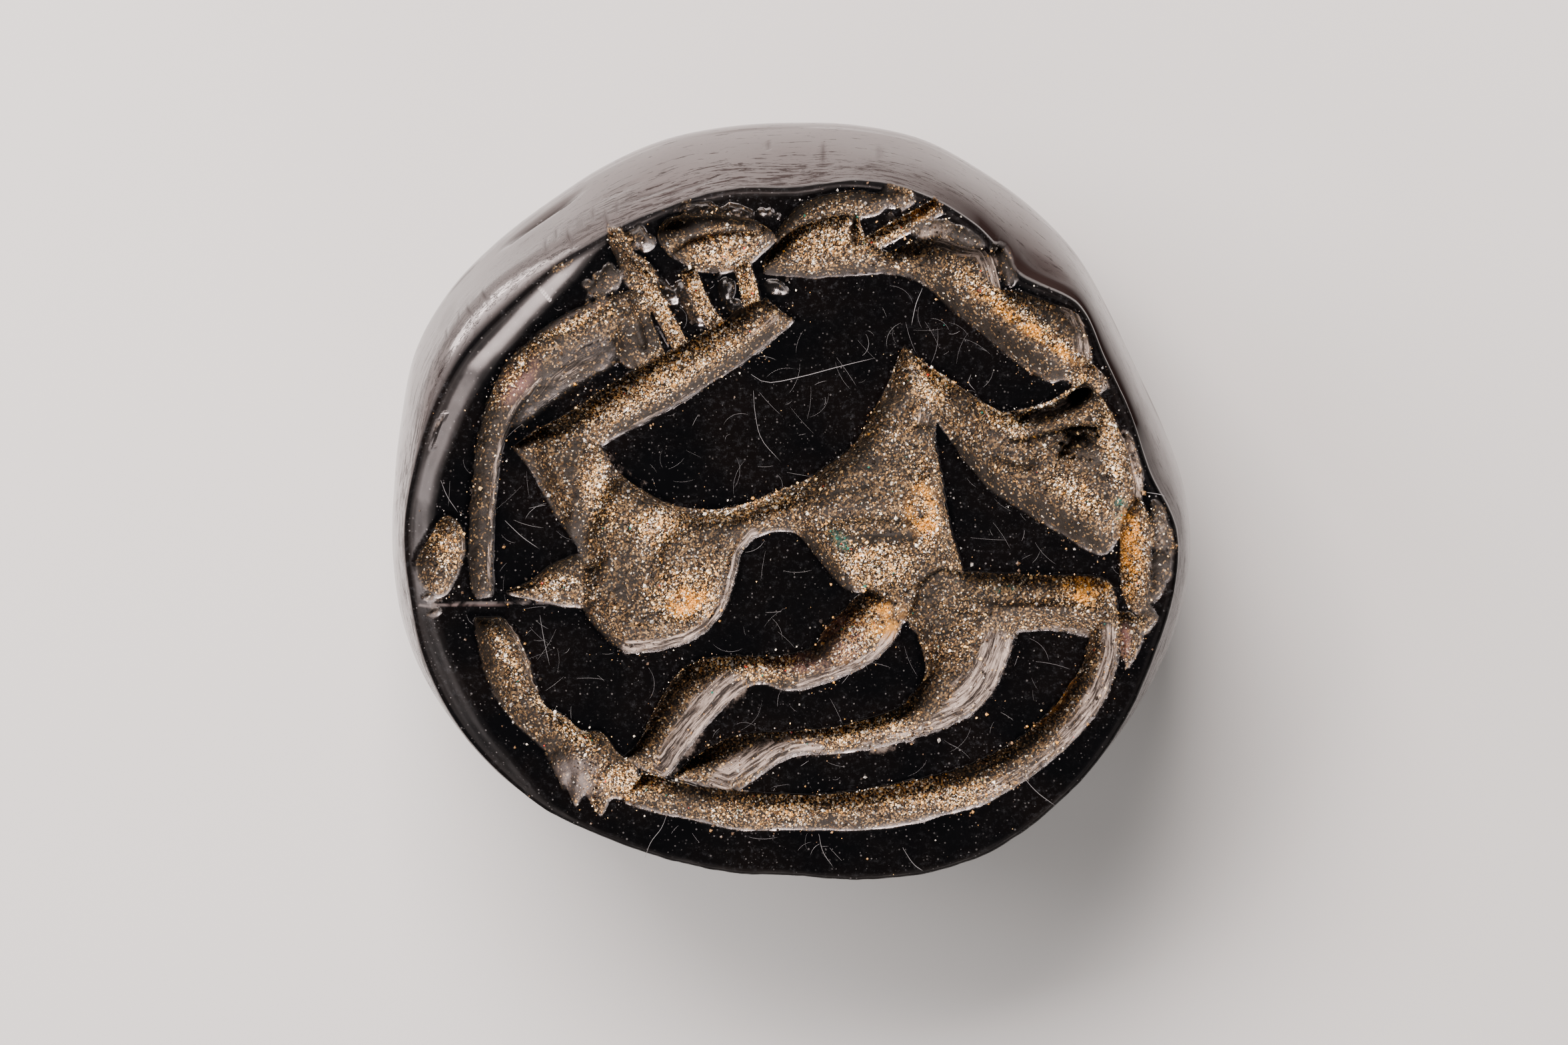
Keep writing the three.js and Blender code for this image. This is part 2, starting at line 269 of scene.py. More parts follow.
TORSO = outline(
    [(-4.2, 1.6), (-3.7, 1.15), (-3.1, 0.8), (-2.4, 0.62), (-1.8, 0.58), (-1.2, 0.72), (-0.4, 1.05),
     (0.3, 1.35), (0.9, 1.7), (1.4, 2.2), (1.75, 2.8), (2.05, 3.4), (2.3, 4.0), (2.6, 4.6)],
    [(3.0, 4.1), (3.35, 3.4), (3.35, 2.8), (3.3, 2.3), (3.5, 1.3), (3.65, 0.4), (3.85, -0.4), (4.0, -1.0)],
    [(3.6, -2.0), (2.6, -2.2), (1.9, -1.8), (1.6, -1.5)],
    [(1.15, -1.35), (0.7, -0.85), (0.3, -0.3), (0.0, 0.0), (-0.5, 0.02), (-0.95, -0.12)],
    [(-1.25, -0.55), (-1.4, -1.2), (-1.6, -1.85), (-1.95, -2.35), (-2.5, -2.75), (-3.2, -2.95),
     (-4.0, -3.0)],
    [(-4.5, -2.6), (-4.95, -2.0), (-5.1, -1.2), (-5.05, -0.5), (-5.35, 0.0), (-5.65, 0.5), (-5.95, 1.1),
     (-6.3, 1.7), (-6.6, 2.1)],
    [(-5.9, 2.6), (-5.2, 2.7), (-4.6, 2.2)],
)
SPLASH = outline(
    [(-6.2, -1.2), (-5.7, -0.8), (-5.05, -0.5)],
    [(-4.7, -1.2), (-4.95, -1.9)],
    [(-5.7, -1.8), (-6.4, -1.65), (-6.9, -1.5)],
)
HIND_LEG = band(
    [(-6.6, 2.1), (-6.1, 2.45), (-5.4, 2.9), (-4.6, 3.4), (-3.7, 4.0), (-3.0, 4.4), (-2.4, 4.75),
     (-1.7, 5.15), (-1.2, 5.5), (-0.65, 5.75)],
    [(-5.4, 1.7), (-4.6, 2.1), (-4.1, 2.35), (-3.4, 2.75), (-2.6, 3.22), (-1.9, 3.68), (-1.2, 4.15),
     (-0.6, 4.6), (0.05, 5.2)],
)
ARM_AND_HAND = outline(
    [(3.1, 4.15), (3.6, 3.82), (4.2, 3.4), (4.9, 2.95)],
    [(5.5, 3.08), (6.1, 3.3), (6.6, 3.65), (6.75, 3.85)],
    [(7.1, 3.5), (7.45, 2.95), (7.75, 2.3), (8.0, 1.6), (8.15, 0.9), (8.0, 0.3), (7.6, -0.3)],
    [(7.3, -0.6), (6.8, -0.4), (6.2, 0.0), (5.6, 0.35), (5.0, 0.75), (4.45, 1.2), (4.0, 1.75), (3.75, 2.1),
     (3.5, 2.5), (3.1, 3.0)],
    [(2.6, 4.6)],
)
HIP = outline(
    [(4.0, -1.0), (5.2, -1.03), (6.4, -1.06), (7.1, -1.1)],
    [(7.5, -1.3), (7.65, -2.0), (7.7, -2.6), (7.4, -3.2), (7.0, -2.65)],
    [(6.4, -2.5), (5.8, -2.45), (5.2, -2.5)],
    [(4.2, -2.9), (3.2, -2.7), (2.7, -2.2), (2.9, -1.4), (3.4, -1.0)],
)
FORE_LEG = band(
    [(1.75, -1.4), (1.5, -1.62), (1.15, -1.95), (0.75, -2.35), (0.45, -2.85), (-0.2, -3.07), (-1.2, -3.1),
     (-2.0, -3.15), (-2.6, -3.4), (-3.0, -3.9), (-3.4, -4.6), (-3.75, -5.3), (-4.1, -5.7)],
    [(2.75, -2.0), (2.6, -2.2), (2.35, -2.7), (1.9, -3.2), (1.3, -3.55), (0.5, -3.85), (-0.2, -3.95),
     (-0.8, -3.78), (-1.2, -3.95), (-1.7, -4.45), (-2.3, -5.15), (-2.8, -5.85), (-3.1, -6.2)],
)
MIDDLE_LEG = band(
    [(2.85, -1.9), (2.95, -2.6), (3.1, -3.2), (3.05, -3.7), (2.7, -4.2), (2.3, -4.48), (1.6, -4.72),
     (0.8, -4.88), (0.0, -4.95), (-1.0, -5.0), (-1.6, -5.15), (-2.2, -5.5), (-2.9, -6.15)],
    [(5.6, -2.2), (5.25, -2.6), (5.05, -3.2), (4.8, -3.8), (4.4, -4.4), (3.8, -4.8), (3.0, -5.1),
     (2.0, -5.4), (1.0, -5.55), (0.3, -5.55), (-0.3, -5.75), (-0.9, -6.2), (-1.5, -6.6)],
)
LOWER_RING = band(
    [(7.0, -2.4), (6.85, -3.2), (6.4, -4.0), (5.8, -4.75), (5.0, -5.4), (4.0, -5.9), (3.0, -6.2),
     (1.8, -6.45), (0.5, -6.55), (-0.6, -6.55), (-1.6, -6.45), (-2.6, -6.3), (-3.6, -6.0)],
    [(7.7, -2.2), (7.68, -3.2), (7.35, -4.2), (6.85, -4.95), (6.15, -5.7), (5.35, -6.3), (4.4, -6.85),
     (3.4, -7.15), (2.4, -7.4), (1.2, -7.5), (0.0, -7.45), (-1.2, -7.5), (-2.4, -7.25), (-3.4, -7.0),
     (-4.1, -6.8)],
)
LOWER_LEFT_RING = band(
    [(-6.85, -2.1), (-6.5, -2.7), (-6.25, -3.3), (-6.1, -3.9), (-5.85, -4.35), (-5.4, -4.6), (-5.0, -4.95),
     (-4.5, -5.05), (-4.2, -5.5), (-3.7, -5.9)],
    [(-7.6, -2.1), (-7.5, -2.8), (-7.3, -3.6), (-6.95, -4.3), (-6.6, -4.85), (-6.15, -5.25), (-5.7, -5.7),
     (-5.45, -6.2), (-5.2, -6.85), (-4.95, -6.6), (-4.6, -7.1), (-4.3, -6.7), (-3.7, -6.85)],
)
LEFT_RING = band(
    [(-3.4, 6.0), (-4.2, 5.85), (-4.9, 5.6), (-5.6, 5.2), (-6.25, 4.7), (-6.8, 4.05), (-7.2, 3.2),
     (-7.45, 2.2), (-7.55, 1.2), (-7.65, 0.3), (-7.7, -0.5), (-7.65, -1.2), (-7.5, -1.7)],
    [(-3.3, 4.9), (-4.1, 4.75), (-4.7, 4.6), (-5.2, 4.3), (-5.7, 3.8), (-6.1, 3.4), (-6.45, 2.9),
     (-6.75, 2.3), (-6.9, 1.6), (-7.0, 0.8), (-7.05, 0.0), (-7.1, -0.8), (-7.1, -1.6)],
)
FAN = outline(
    [(-3.5, 5.75), (-3.3, 5.2), (-3.1, 4.7), (-2.85, 4.15)],
    [(-3.4, 4.0), (-3.9, 4.05), (-4.15, 4.3), (-4.3, 4.9), (-4.2, 5.7)],
)
SCUFF = rounded([(-6.7, 2.7), (-6.2, 3.5), (-5.5, 4.3), (-4.6, 4.8), (-4.0, 4.7), (-4.1, 4.15), (-4.9, 3.6),
                 (-5.8, 3.0), (-6.4, 2.5)])
TOES = [
    bar([(-3.5, 6.35), (-3.25, 5.75), (-2.92, 5.1), (-2.55, 4.45)], 0.4),
    bar([(-2.5, 6.5), (-2.3, 5.9), (-2.0, 5.35), (-1.68, 4.95)], 0.42),
    bar([(-1.25, 6.6), (-1.1, 6.1), (-1.0, 5.7), (-0.9, 5.3)], 0.42),
]
LEAF_ROW = outline(
    [(0.2, 6.22), (1.2, 6.28), (2.1, 6.35), (2.9, 6.12), (3.5, 5.65), (4.1, 5.08), (4.8, 4.48), (5.4, 4.0),
     (6.0, 3.7), (6.45, 3.72), (6.8, 3.35)],
    [(7.1, 3.4), (7.35, 3.55)],
    [(7.3, 3.85), (7.0, 4.15)],
    [(6.95, 4.6), (6.8, 5.05), (6.6, 5.42), (6.0, 5.62), (5.3, 5.9), (4.85, 5.95)],
    [(4.75, 6.4), (4.5, 6.85), (4.0, 6.95), (3.4, 7.15), (2.7, 7.1), (2.2, 6.85)],
    [(1.75, 7.15), (1.5, 7.75)],
    [(1.0, 7.75), (0.5, 7.6), (0.0, 7.4), (-0.4, 7.1), (-0.7, 6.75), (-0.75, 6.35)],
)
LEAF_HOLLOW = rounded([(-0.5, 7.1), (0.0, 7.9), (0.7, 8.25), (1.5, 8.35), (2.2, 8.2), (2.0, 7.8), (1.2, 7.6),
                       (0.3, 7.2)])
STEM = bar([(1.15, 6.65), (1.8, 7.1), (2.5, 7.5), (3.4, 8.0)], 0.42)
HUSK = rounded([(-3.0, 6.85), (-2.55, 6.55), (-2.0, 6.36), (-1.3, 6.42), (-0.85, 6.75), (-0.45, 7.2),
                (-0.75, 7.55), (-1.3, 7.75), (-2.1, 7.82), (-2.9, 7.7), (-3.2, 7.3)])
TWIG = rounded([(-4.35, 7.35), (-4.0, 7.45), (-3.75, 6.95), (-3.35, 6.6), (-3.15, 6.2), (-3.4, 5.8),
                (-3.9, 6.0), (-4.1, 6.6)])
RIGHT_GROOVE = rounded([(7.75, 0.3), (7.68, -0.5), (7.7, -1.2), (7.88, -1.8), (8.2, -2.05), (8.38, -1.7),
                        (8.42, -1.0), (8.42, -0.2), (8.32, 0.5), (8.05, 0.85)])
RIGHT_TIP = outline(
    [(7.62, -2.4), (7.72, -2.9), (7.9, -3.45)],
    [(8.15, -3.0), (8.28, -2.45), (8.05, -2.0), (7.6, -1.95)],
)
LEFT_PIT = rounded([(-8.95, -0.9), (-8.65, -0.2), (-8.3, 0.38), (-7.95, 0.3), (-7.72, -0.35), (-7.95, -1.15),
                    (-8.25, -1.6), (-8.72, -1.45)])
# Outline, depth, and how wide the walls are where they face +Y and elsewhere
CUTS = [
    Cut(TORSO, 0.56, 0.45, 0.55),
    Cut(SPLASH, 0.3, 0.4, 0.4),
    Cut(HIND_LEG, 0.68, 0.5, 0.22),
    Cut(ARM_AND_HAND, 0.7, 0.7, 0.3),
    Cut(HIP, 0.72, 0.4, 0.18),
    Cut(FORE_LEG, 0.8, 0.75, 0.22),
    Cut(MIDDLE_LEG, 0.8, 0.85, 0.22),
    Cut(LOWER_RING, 0.68, 0.6, 0.22),
    Cut(LOWER_LEFT_RING, 0.55, 0.45, 0.35),
    Cut(LEFT_RING, 0.28, 0.5, 0.45),
    Cut(SCUFF, 0.09, 0.5, 0.5),
    Cut(FAN, 0.3, 0.4, 0.3),
    *[Cut(toe, 0.4, 0.22, 0.2) for toe in TOES],
    Cut(LEAF_ROW, 0.7, 0.6, 0.18),
    Cut(LEAF_HOLLOW, 0.28, 0.3, 0.3),
    Cut(STEM, 0.55, 0.2, 0.16),
    Cut(HUSK, 0.6, 0.5, 0.4),
    Cut(TWIG, 0.2, 0.35, 0.3),
    Cut(RIGHT_GROOVE, 0.6, 0.35, 0.2),
    Cut(RIGHT_TIP, 0.45, 0.3, 0.2),
    Cut(LEFT_PIT, 0.4, 0.45, 0.4),
]
# The same, for stone left standing inside the cuts
ISLANDS = [
    Cut(rounded([(1.5, -0.32), (2.1, -0.2), (2.9, -0.25), (2.1, -0.46)]), 1.0, 0.25, 0.2,
        hollow=False, top=0.55),
    Cut(rounded([(0.6, 0.64), (1.2, 0.9), (1.75, 1.02), (1.2, 0.78)]), 1.0, 0.25, 0.2,
        hollow=False, top=0.6),
]

# Ridges left or raised in the cuts, and grooves where the height is below 0: path, half width, height
RIDGES = [
    ([(-4.5, 2.38), (-3.4, 3.02), (-2.1, 3.8), (-1.3, 4.3), (-0.2, 5.15)], 0.09, 0.1),
    ([(-4.3, 2.62), (-3.3, 3.2), (-2.1, 3.95), (-1.2, 4.5)], 0.07, 0.05),
    ([(-3.05, 0.0), (-3.4, -0.7), (-3.3, -1.3), (-3.0, -1.9), (-2.6, -2.25)], 0.3, 0.16),
    ([(-4.2, 1.7), (-4.6, 0.9), (-4.85, 0.3), (-4.95, -0.2), (-4.75, -0.7)], 0.3, 0.28),
    ([(-6.1, 1.9), (-5.75, 1.05), (-5.4, 0.4)], 0.2, 0.15),
    ([(-1.35, -0.2), (-1.62, -0.8), (-1.72, -1.5), (-2.0, -2.05)], 0.1, 0.16),
    ([(0.8, 0.2), (1.8, 0.3), (2.8, 0.25)], 0.22, 0.1),
    ([(2.2, 3.6), (2.5, 3.0), (2.7, 2.3), (2.9, 1.5)], 0.35, 0.14),
    ([(-2.6, 0.5), (-1.6, 0.45), (-0.6, 0.7), (0.4, 1.1)], 0.4, 0.16),
    ([(3.0, 3.2), (3.8, 2.6), (4.6, 2.0), (5.4, 1.6)], 0.35, 0.12),
    ([(4.0, -1.6), (5.0, -1.75), (6.2, -1.7), (7.0, -1.75)], 0.35, 0.12),
    ([(5.3, 2.95), (6.0, 3.2), (6.7, 3.65)], 0.16, 0.2),
    ([(5.4, 2.55), (6.0, 2.72), (6.6, 2.95)], 0.12, -0.22),
    ([(5.2, 2.25), (5.9, 2.4), (6.6, 2.58), (7.1, 2.58)], 0.16, 0.2),
    ([(6.55, 2.28), (6.85, 2.34), (7.15, 2.3)], 0.08, -0.3),
    ([(8.58, 0.7), (8.7, 0.1), (8.68, -0.7), (8.6, -1.5), (8.4, -2.1)], 0.06, -0.1),
    ([(8.84, 0.4), (8.82, -0.3), (8.8, -1.0)], 0.05, -0.08),
    ([(8.45, -0.9), (8.62, -1.2), (8.78, -1.5)], 0.06, -0.1),
    ([(8.45, 0.4), (8.6, 0.15), (8.85, 0.1)], 0.05, -0.1),
    ([(-7.7, 0.15), (-7.78, -0.5), (-7.9, -1.1), (-8.2, -1.6), (-8.55, -1.7)], 0.09, 0.14),
    ([(-2.8, 6.95), (-2.1, 7.22), (-1.4, 7.32), (-0.8, 7.25)], 0.12, 0.16),
    ([(-4.35, 7.35), (-4.1, 6.85), (-3.75, 6.45), (-3.4, 6.2)], 0.14, -0.18),
    ([(-5.0, 5.9), (-4.5, 6.3), (-4.3, 6.8)], 0.1, 0.1),
    ([(-4.0, 5.6), (-3.7, 5.2), (-3.55, 4.6)], 0.12, 0.14),
    ([(-3.3, 5.5), (-3.2, 5.0), (-3.0, 4.6)], 0.08, -0.14),
    ([(1.38, 7.65), (1.3, 7.3), (1.36, 7.0)], 0.07, 0.3),
    ([(-6.4, -2.0), (-6.0, -2.0), (-5.85, -2.6), (-5.75, -3.3)], 0.04, 0.012),
]
# Places worn or struck away: middle, half sizes, turn in degrees, depth, how ragged, how dull
HOLLOWS = [
    ((3.08, 2.72), (0.3, 0.28), 0, -0.38, 0.1, 0),
    ((-1.85, 7.87), (1.15, 0.22), -6, 0.2, 0.7, 0.2),
    ((-3.5, 7.15), (0.42, 0.24), -20, 0.14, 0.8, 0.3),
    ((-2.95, 5.95), (0.28, 0.34), 20, 0.14, 1.0, 0.15),
    ((-2.35, 5.5), (0.2, 0.6), 28, 0.16, 1.0, 0.15),
    ((-1.6, 5.9), (0.26, 0.5), 20, 0.18, 1.0, 0.15),
    ((-0.4, 6.0), (0.3, 0.15), -25, 0.12, 0.6, 0.25),
    ((-8.62, -1.62), (0.2, 0.13), 0, 0.16, 0.5, 0.4),
    ((-8.5, -2.0), (0.24, 0.14), 20, 0.16, 0.5, 0.4),
    ((2.4, 8.2), (0.45, 0.3), -15, 0.3, 0.6, 0.9),
    ((3.4, 7.4), (1.0, 0.3), -22, 0.24, 0.6, 0.9),
    ((4.87, 6.6), (0.5, 0.26), -65, 0.8, 0.4, 0.9),
    ((6.72, 3.08), (0.42, 0.26), 35, 1.8, 0.3, 1),
    ((6.86, 1.75), (0.62, 0.56), 30, 1.28, 0.9, 1),
    ((6.62, 2.3), (0.4, 0.1), 4, 1.4, 0.4, 1),
    ((8.0, 1.7), (0.14, 0.9), 14, 0.35, 0.2, 0.9),
    ((-4.45, 6.05), (0.55, 0.34), 40, 0.16, 1.1, 1.0),
    ((8.6, 0.2), (0.26, 0.8), 4, 0.16, 0.7, 0.95),
    ((8.6, -1.1), (0.26, 0.85), -8, 0.18, 0.7, 0.95),
    ((8.35, -2.2), (0.24, 0.5), -20, 0.16, 0.7, 0.9),
    ((-5.3, -6.0), (0.55, 0.42), -30, 0.34, 0.9, 0.85),
    ((-5.35, 6.5), (0.5, 0.1), 32, 0.05, 0.7, 0.7),
    ((-3.4, 8.0), (0.5, 0.12), 12, 0.08, 0.8, 0.8),
]
# Painted light: the pale colour stands for walls that face the key light, and paints highlights on chips, a
# bump and the worn left edge.
# Bare cut stone with tool lines and no sand, painted pale partly as painted light: path, half width, strength
BARE_STONE_AND_PAINTED_LIGHT = [
    ([(-1.4, -3.95), (-2.0, -4.4), (-2.5, -5.15), (-3.0, -5.9)], 0.34, 1.0),
    ([(4.9, -3.0), (4.6, -3.6), (4.2, -4.2)], 0.42, 0.95),
    ([(4.4, -4.0), (3.4, -4.85), (2.6, -5.2), (1.8, -5.4)], 0.22, 0.85),
    ([(0.5, -5.4), (-0.5, -5.6), (-1.2, -5.95), (-1.8, -6.35)], 0.26, 0.85),
    ([(7.5, -2.7), (7.42, -3.6), (7.0, -4.5), (6.5, -5.15)], 0.2, 0.85),
    ([(6.45, -5.25), (5.6, -6.0), (4.5, -6.72)], 0.15, 0.6),
    ([(4.5, -6.85), (3.7, -7.05), (2.9, -7.25)], 0.1, 0.35),
    ([(-4.35, 2.3), (-3.3, 2.88), (-2.0, 3.64), (-1.2, 4.2), (-0.1, 5.06)], 0.04, 0.5),
    ([(-1.2, 4.65), (-0.8, 4.95), (-0.3, 5.25)], 0.16, 0.4),
    ([(-4.4, 2.05), (-4.0, 1.5), (-3.5, 1.15)], 0.14, 0.7),
    ([(-0.95, -0.1), (-1.3, -0.6), (-1.47, -1.2), (-1.65, -1.8), (-2.0, -2.3), (-2.5, -2.68), (-3.2, -2.88),
      (-3.95, -2.92)], 0.13, 0.9),
    ([(0.2, -3.85), (1.3, -3.45), (1.95, -3.05), (2.35, -2.6)], 0.14, 0.8),
    ([(-7.2, -1.4), (-7.17, 0.0), (-7.05, 1.4), (-6.8, 2.5), (-6.45, 3.2), (-5.95, 3.75)], 0.05, 0.7),
    ([(-6.7, -2.3), (-6.35, -3.2), (-6.1, -3.9)], 0.13, 0.6),
    ([(-2.8, 7.9), (-1.9, 7.92), (-1.1, 7.7)], 0.08, 0.8),
    ([(3.5, 6.95), (4.1, 6.75), (4.55, 6.5), (4.7, 6.1)], 0.26, 0.75),
    ([(6.45, 5.35), (6.7, 4.9), (6.8, 4.35)], 0.24, 0.75),
    ([(2.6, 6.7), (3.0, 7.2), (3.6, 7.5)], 0.25, 0.4),
    ([(5.6, 2.6), (6.1, 2.76), (6.45, 2.9)], 0.1, 0.7),
    ([(8.55, 0.6), (8.7, -0.3), (8.6, -1.2), (8.4, -2.0)], 0.2, 0.3),
    ([(-5.9, 3.3), (-5.1, 4.1), (-4.5, 4.5)], 0.3, 0.35),
    ([(-8.5, 2.05), (-8.42, 2.5), (-8.2, 2.85)], 0.06, 0.9),
    ([(7.2, 3.9), (7.3, 3.6)], 0.12, 0.6),
    ([(7.75, 2.5), (8.0, 1.8), (8.12, 0.9)], 0.15, 0.7),
    ([(3.35, 2.3), (3.55, 1.2), (3.8, 0.0), (3.98, -0.8)], 0.1, 0.35),
    ([(-0.65, 6.05), (-0.25, 5.9)], 0.1, 0.4),
    ([(-7.7, 0.15), (-7.78, -0.5), (-7.9, -1.1), (-8.2, -1.6), (-8.55, -1.7)], 0.07, 0.7),
    ([(-8.5, -1.8), (-8.45, -2.3)], 0.14, 0.7),
    ([(7.0, -2.55), (6.2, -2.42), (5.3, -2.45)], 0.05, 0.6),
    ([(3.1, 2.72), (3.05, 2.7)], 0.22, 0.6),
]
# Bare, smooth and dark walls, partly painted shade where the cuts lie in shadow: path, half width, strength
DARK_STONE_AND_PAINTED_SHADE = [
    ([(3.75, 2.15), (4.4, 1.4), (5.2, 0.8), (6.0, 0.35), (6.8, -0.1), (7.3, -0.4)], 0.2, 1.0),
    ([(3.4, 5.85), (4.2, 5.2), (5.0, 4.6), (5.6, 4.15), (6.2, 3.9)], 0.2, 1.0),
    ([(0.25, -0.2), (0.75, -0.8), (1.3, -1.4)], 0.16, 1.0),
    ([(-4.15, -2.9), (-4.6, -2.45), (-4.95, -2.0)], 0.12, 1.0),
    ([(-5.95, 0.95), (-5.55, 0.3), (-5.25, -0.1)], 0.12, 1.0),
    ([(1.6, -0.32), (2.8, -0.28)], 0.13, 1.0),
    ([(0.7, 0.72), (1.7, 1.0)], 0.07, 0.9),
    ([(6.6, 1.95), (7.05, 1.6)], 0.4, 0.85),
    ([(-5.7, -5.6), (-5.2, -6.5)], 0.35, 0.8),
    ([(4.4, 1.9), (5.3, 1.5), (6.1, 1.1)], 0.3, 0.4),
    ([(1.4, 1.6), (2.0, 2.2), (2.4, 3.2)], 0.26, 0.3),
    ([(6.55, 2.28), (7.15, 2.32)], 0.08, 1.0),
    ([(6.45, 2.95), (6.75, 3.1), (6.9, 3.2)], 0.28, 1.0),
    ([(4.72, 7.05), (4.9, 6.6), (5.05, 6.15)], 0.28, 1.0),
    ([(5.2, 5.95), (6.0, 5.7), (6.6, 5.5)], 0.12, 0.9),
    ([(2.9, 7.4), (3.8, 7.2), (4.4, 7.0)], 0.25, 0.7),
    ([(-6.2, 3.0), (-5.3, 3.8), (-4.5, 4.4)], 0.45, 0.85),
    ([(-7.35, -1.5), (-7.38, 0.2), (-7.2, 1.6), (-6.95, 2.7)], 0.34, 0.9),
    ([(-6.7, 2.5), (-6.1, 3.4), (-5.3, 4.15), (-4.4, 4.5)], 0.34, 0.9),
    ([(-3.9, 4.3), (-3.5, 4.9)], 0.45, 0.8),
    ([(-3.9, 5.5), (-4.2, 6.2)], 0.25, 0.4),
    ([(-0.5, 7.2), (0.1, 7.9), (0.9, 8.25), (2.1, 8.2)], 0.25, 0.8),
    ([(1.38, 7.65), (1.36, 7.0)], 0.08, 0.9),
    ([(-3.0, 7.3), (-2.4, 7.5), (-1.7, 7.62), (-1.0, 7.55)], 0.24, 0.95),
    ([(-3.0, 6.2), (-2.7, 5.5), (-2.4, 4.9)], 0.12, 0.95),
    ([(-4.1, 2.52), (-3.2, 3.0), (-2.0, 3.76), (-1.2, 4.3), (-0.5, 4.88)], 0.13, 1.0),
    ([(-5.0, 5.6), (-5.9, 5.1), (-6.8, 4.3), (-7.35, 3.1), (-7.5, 1.2)], 0.2, 0.9),
    ([(-5.0, 5.7), (-4.5, 6.1), (-4.3, 6.6)], 0.3, 0.85),
    ([(-4.0, 5.2), (-3.8, 5.7)], 0.25, 0.6),
    ([(-3.2, 6.0), (-2.9, 5.9)], 0.2, 0.9),
    ([(-0.6, 6.36), (0.5, 6.27), (2.0, 6.4), (2.9, 6.18)], 0.1, 0.9),
    ([(-0.6, 6.0), (-0.2, 5.95)], 0.25, 0.9),
    ([(4.4, -1.9), (5.4, -2.1), (6.6, -2.2)], 0.14, 0.5),
    ([(-1.9, 6.3), (-1.6, 5.8), (-1.4, 5.3)], 0.26, 0.95),
    ([(-5.05, 2.1), (-5.3, 1.5), (-5.12, 0.5), (-5.06, -0.7)], 0.15, 0.8),
    ([(8.5, 0.8), (8.66, 0.0), (8.62, -0.9), (8.45, -2.0)], 0.22, 0.7),
    ([(2.6, -2.6), (2.95, -3.1)], 0.12, 1.0),
    ([(-6.3, -1.9), (-6.8, -2.4)], 0.12, 0.6),
    ([(-7.4, -2.3), (-7.35, -3.3), (-7.0, -4.1)], 0.14, 0.6),
    ([(-7.6, -1.0), (-7.55, 1.0), (-7.35, 2.6)], 0.12, 0.7),
]
# Where the sand lies thickest: middle, half sizes, turn in degrees
THICK_SAND = [
    ((-2.5, -1.7), (0.8, 0.7), 40), ((3.1, 0.3), (0.35, 1.2), 5), ((4.9, 2.6), (0.8, 0.3), -35),
    ((6.6, 0.8), (0.9, 0.35), -35), ((-4.6, 0.9), (0.35, 1.0), 8), ((-2.2, 4.1), (1.9, 0.22), 33),
    ((6.9, -1.7), (0.8, 0.5), 0), ((-3.2, 3.6), (2.4, 0.4), 33), ((0.7, 7.0), (0.8, 0.5), 20),
    ((5.2, 5.2), (1.9, 0.24), -36), ((-1.7, 6.8), (0.8, 0.35), 10), ((1.5, -5.1), (2.2, 0.3), 3),
    ((2.0, -6.8), (3.5, 0.35), 5), ((-5.4, -4.9), (1.2, 0.3), -45), ((-6.8, -3.3), (0.9, 0.2), -62),
    ((1.6, -2.6), (0.9, 0.4), 50), ((-8.25, -0.5), (0.35, 0.6), 10), ((-5.6, -1.35), (0.5, 0.2), 10),
    ((3.2, 3.6), (0.7, 0.5), -40), ((8.05, -0.7), (0.3, 1.0), 0), ((-3.05, 5.4), (1.1, 0.3), -63),
    ((-2.1, 5.75), (0.9, 0.3), -60), ((-1.1, 5.95), (0.7, 0.3), -75), ((2.2, 7.35), (1.3, 0.25), 33),
    ((-3.2, 0.0), (0.7, 0.5), 10), ((-1.0, 0.5), (1.2, 0.35), 15),
    ((6.2, 3.4), (0.8, 0.2), 30), ((7.5, 1.8), (0.25, 1.0), 10), ((1.9, -1.0), (1.0, 0.6), 0),
    ((-5.2, 5.1), (1.0, 0.16), 28), ((-6.5, 3.9), (0.9, 0.15), 56),
    ((-1.2, -3.5), (1.4, 0.3), 0), ((-3.6, -6.3), (1.2, 0.4), 0),
]
# Coloured stains in the sand
ORANGE = [
    ((3.05, 0.35), (0.38, 0.7), 10), ((-2.55, -1.85), (0.5, 0.36), 40), ((7.95, -0.5), (0.28, 1.1), 0),
    ((2.2, -2.3), (0.3, 0.5), -40), ((5.4, 4.9), (1.4, 0.15), -35), ((6.9, -1.6), (0.5, 0.35), 0),
    ((6.2, -4.4), (0.8, 0.2), 52), ((3.0, 7.8), (0.5, 0.15), 33),
]
ROSY = [
    ((1.15, -2.8), (0.6, 0.45), 45), ((-6.45, 3.75), (0.7, 0.32), 58), ((-7.2, -1.8), (1.0, 0.04), 0),
    ((0.0, -3.4), (0.8, 0.2), 0), ((7.85, -2.8), (0.12, 0.4), 0),
]
GREEN = [
    ((1.2, -0.42), (0.42, 0.2), -40), ((7.72, 0.42), (0.18, 0.26), 0), ((5.0, -1.6), (0.3, 0.1), 10),
]
# Dusty patches: middle, half sizes, turn in degrees
DUST = [
    ((-4.9, 5.35), (0.9, 0.14), 24), ((-5.2, -6.3), (0.7, 0.5), 0),
]
# A dusty crack across the left of the face: path, half width, strength
CRACK = [([(-8.85, -1.85), (-8.0, -1.78), (-7.0, -1.76), (-6.0, -1.72), (-5.1, -1.82)], 0.035, 0.55)]
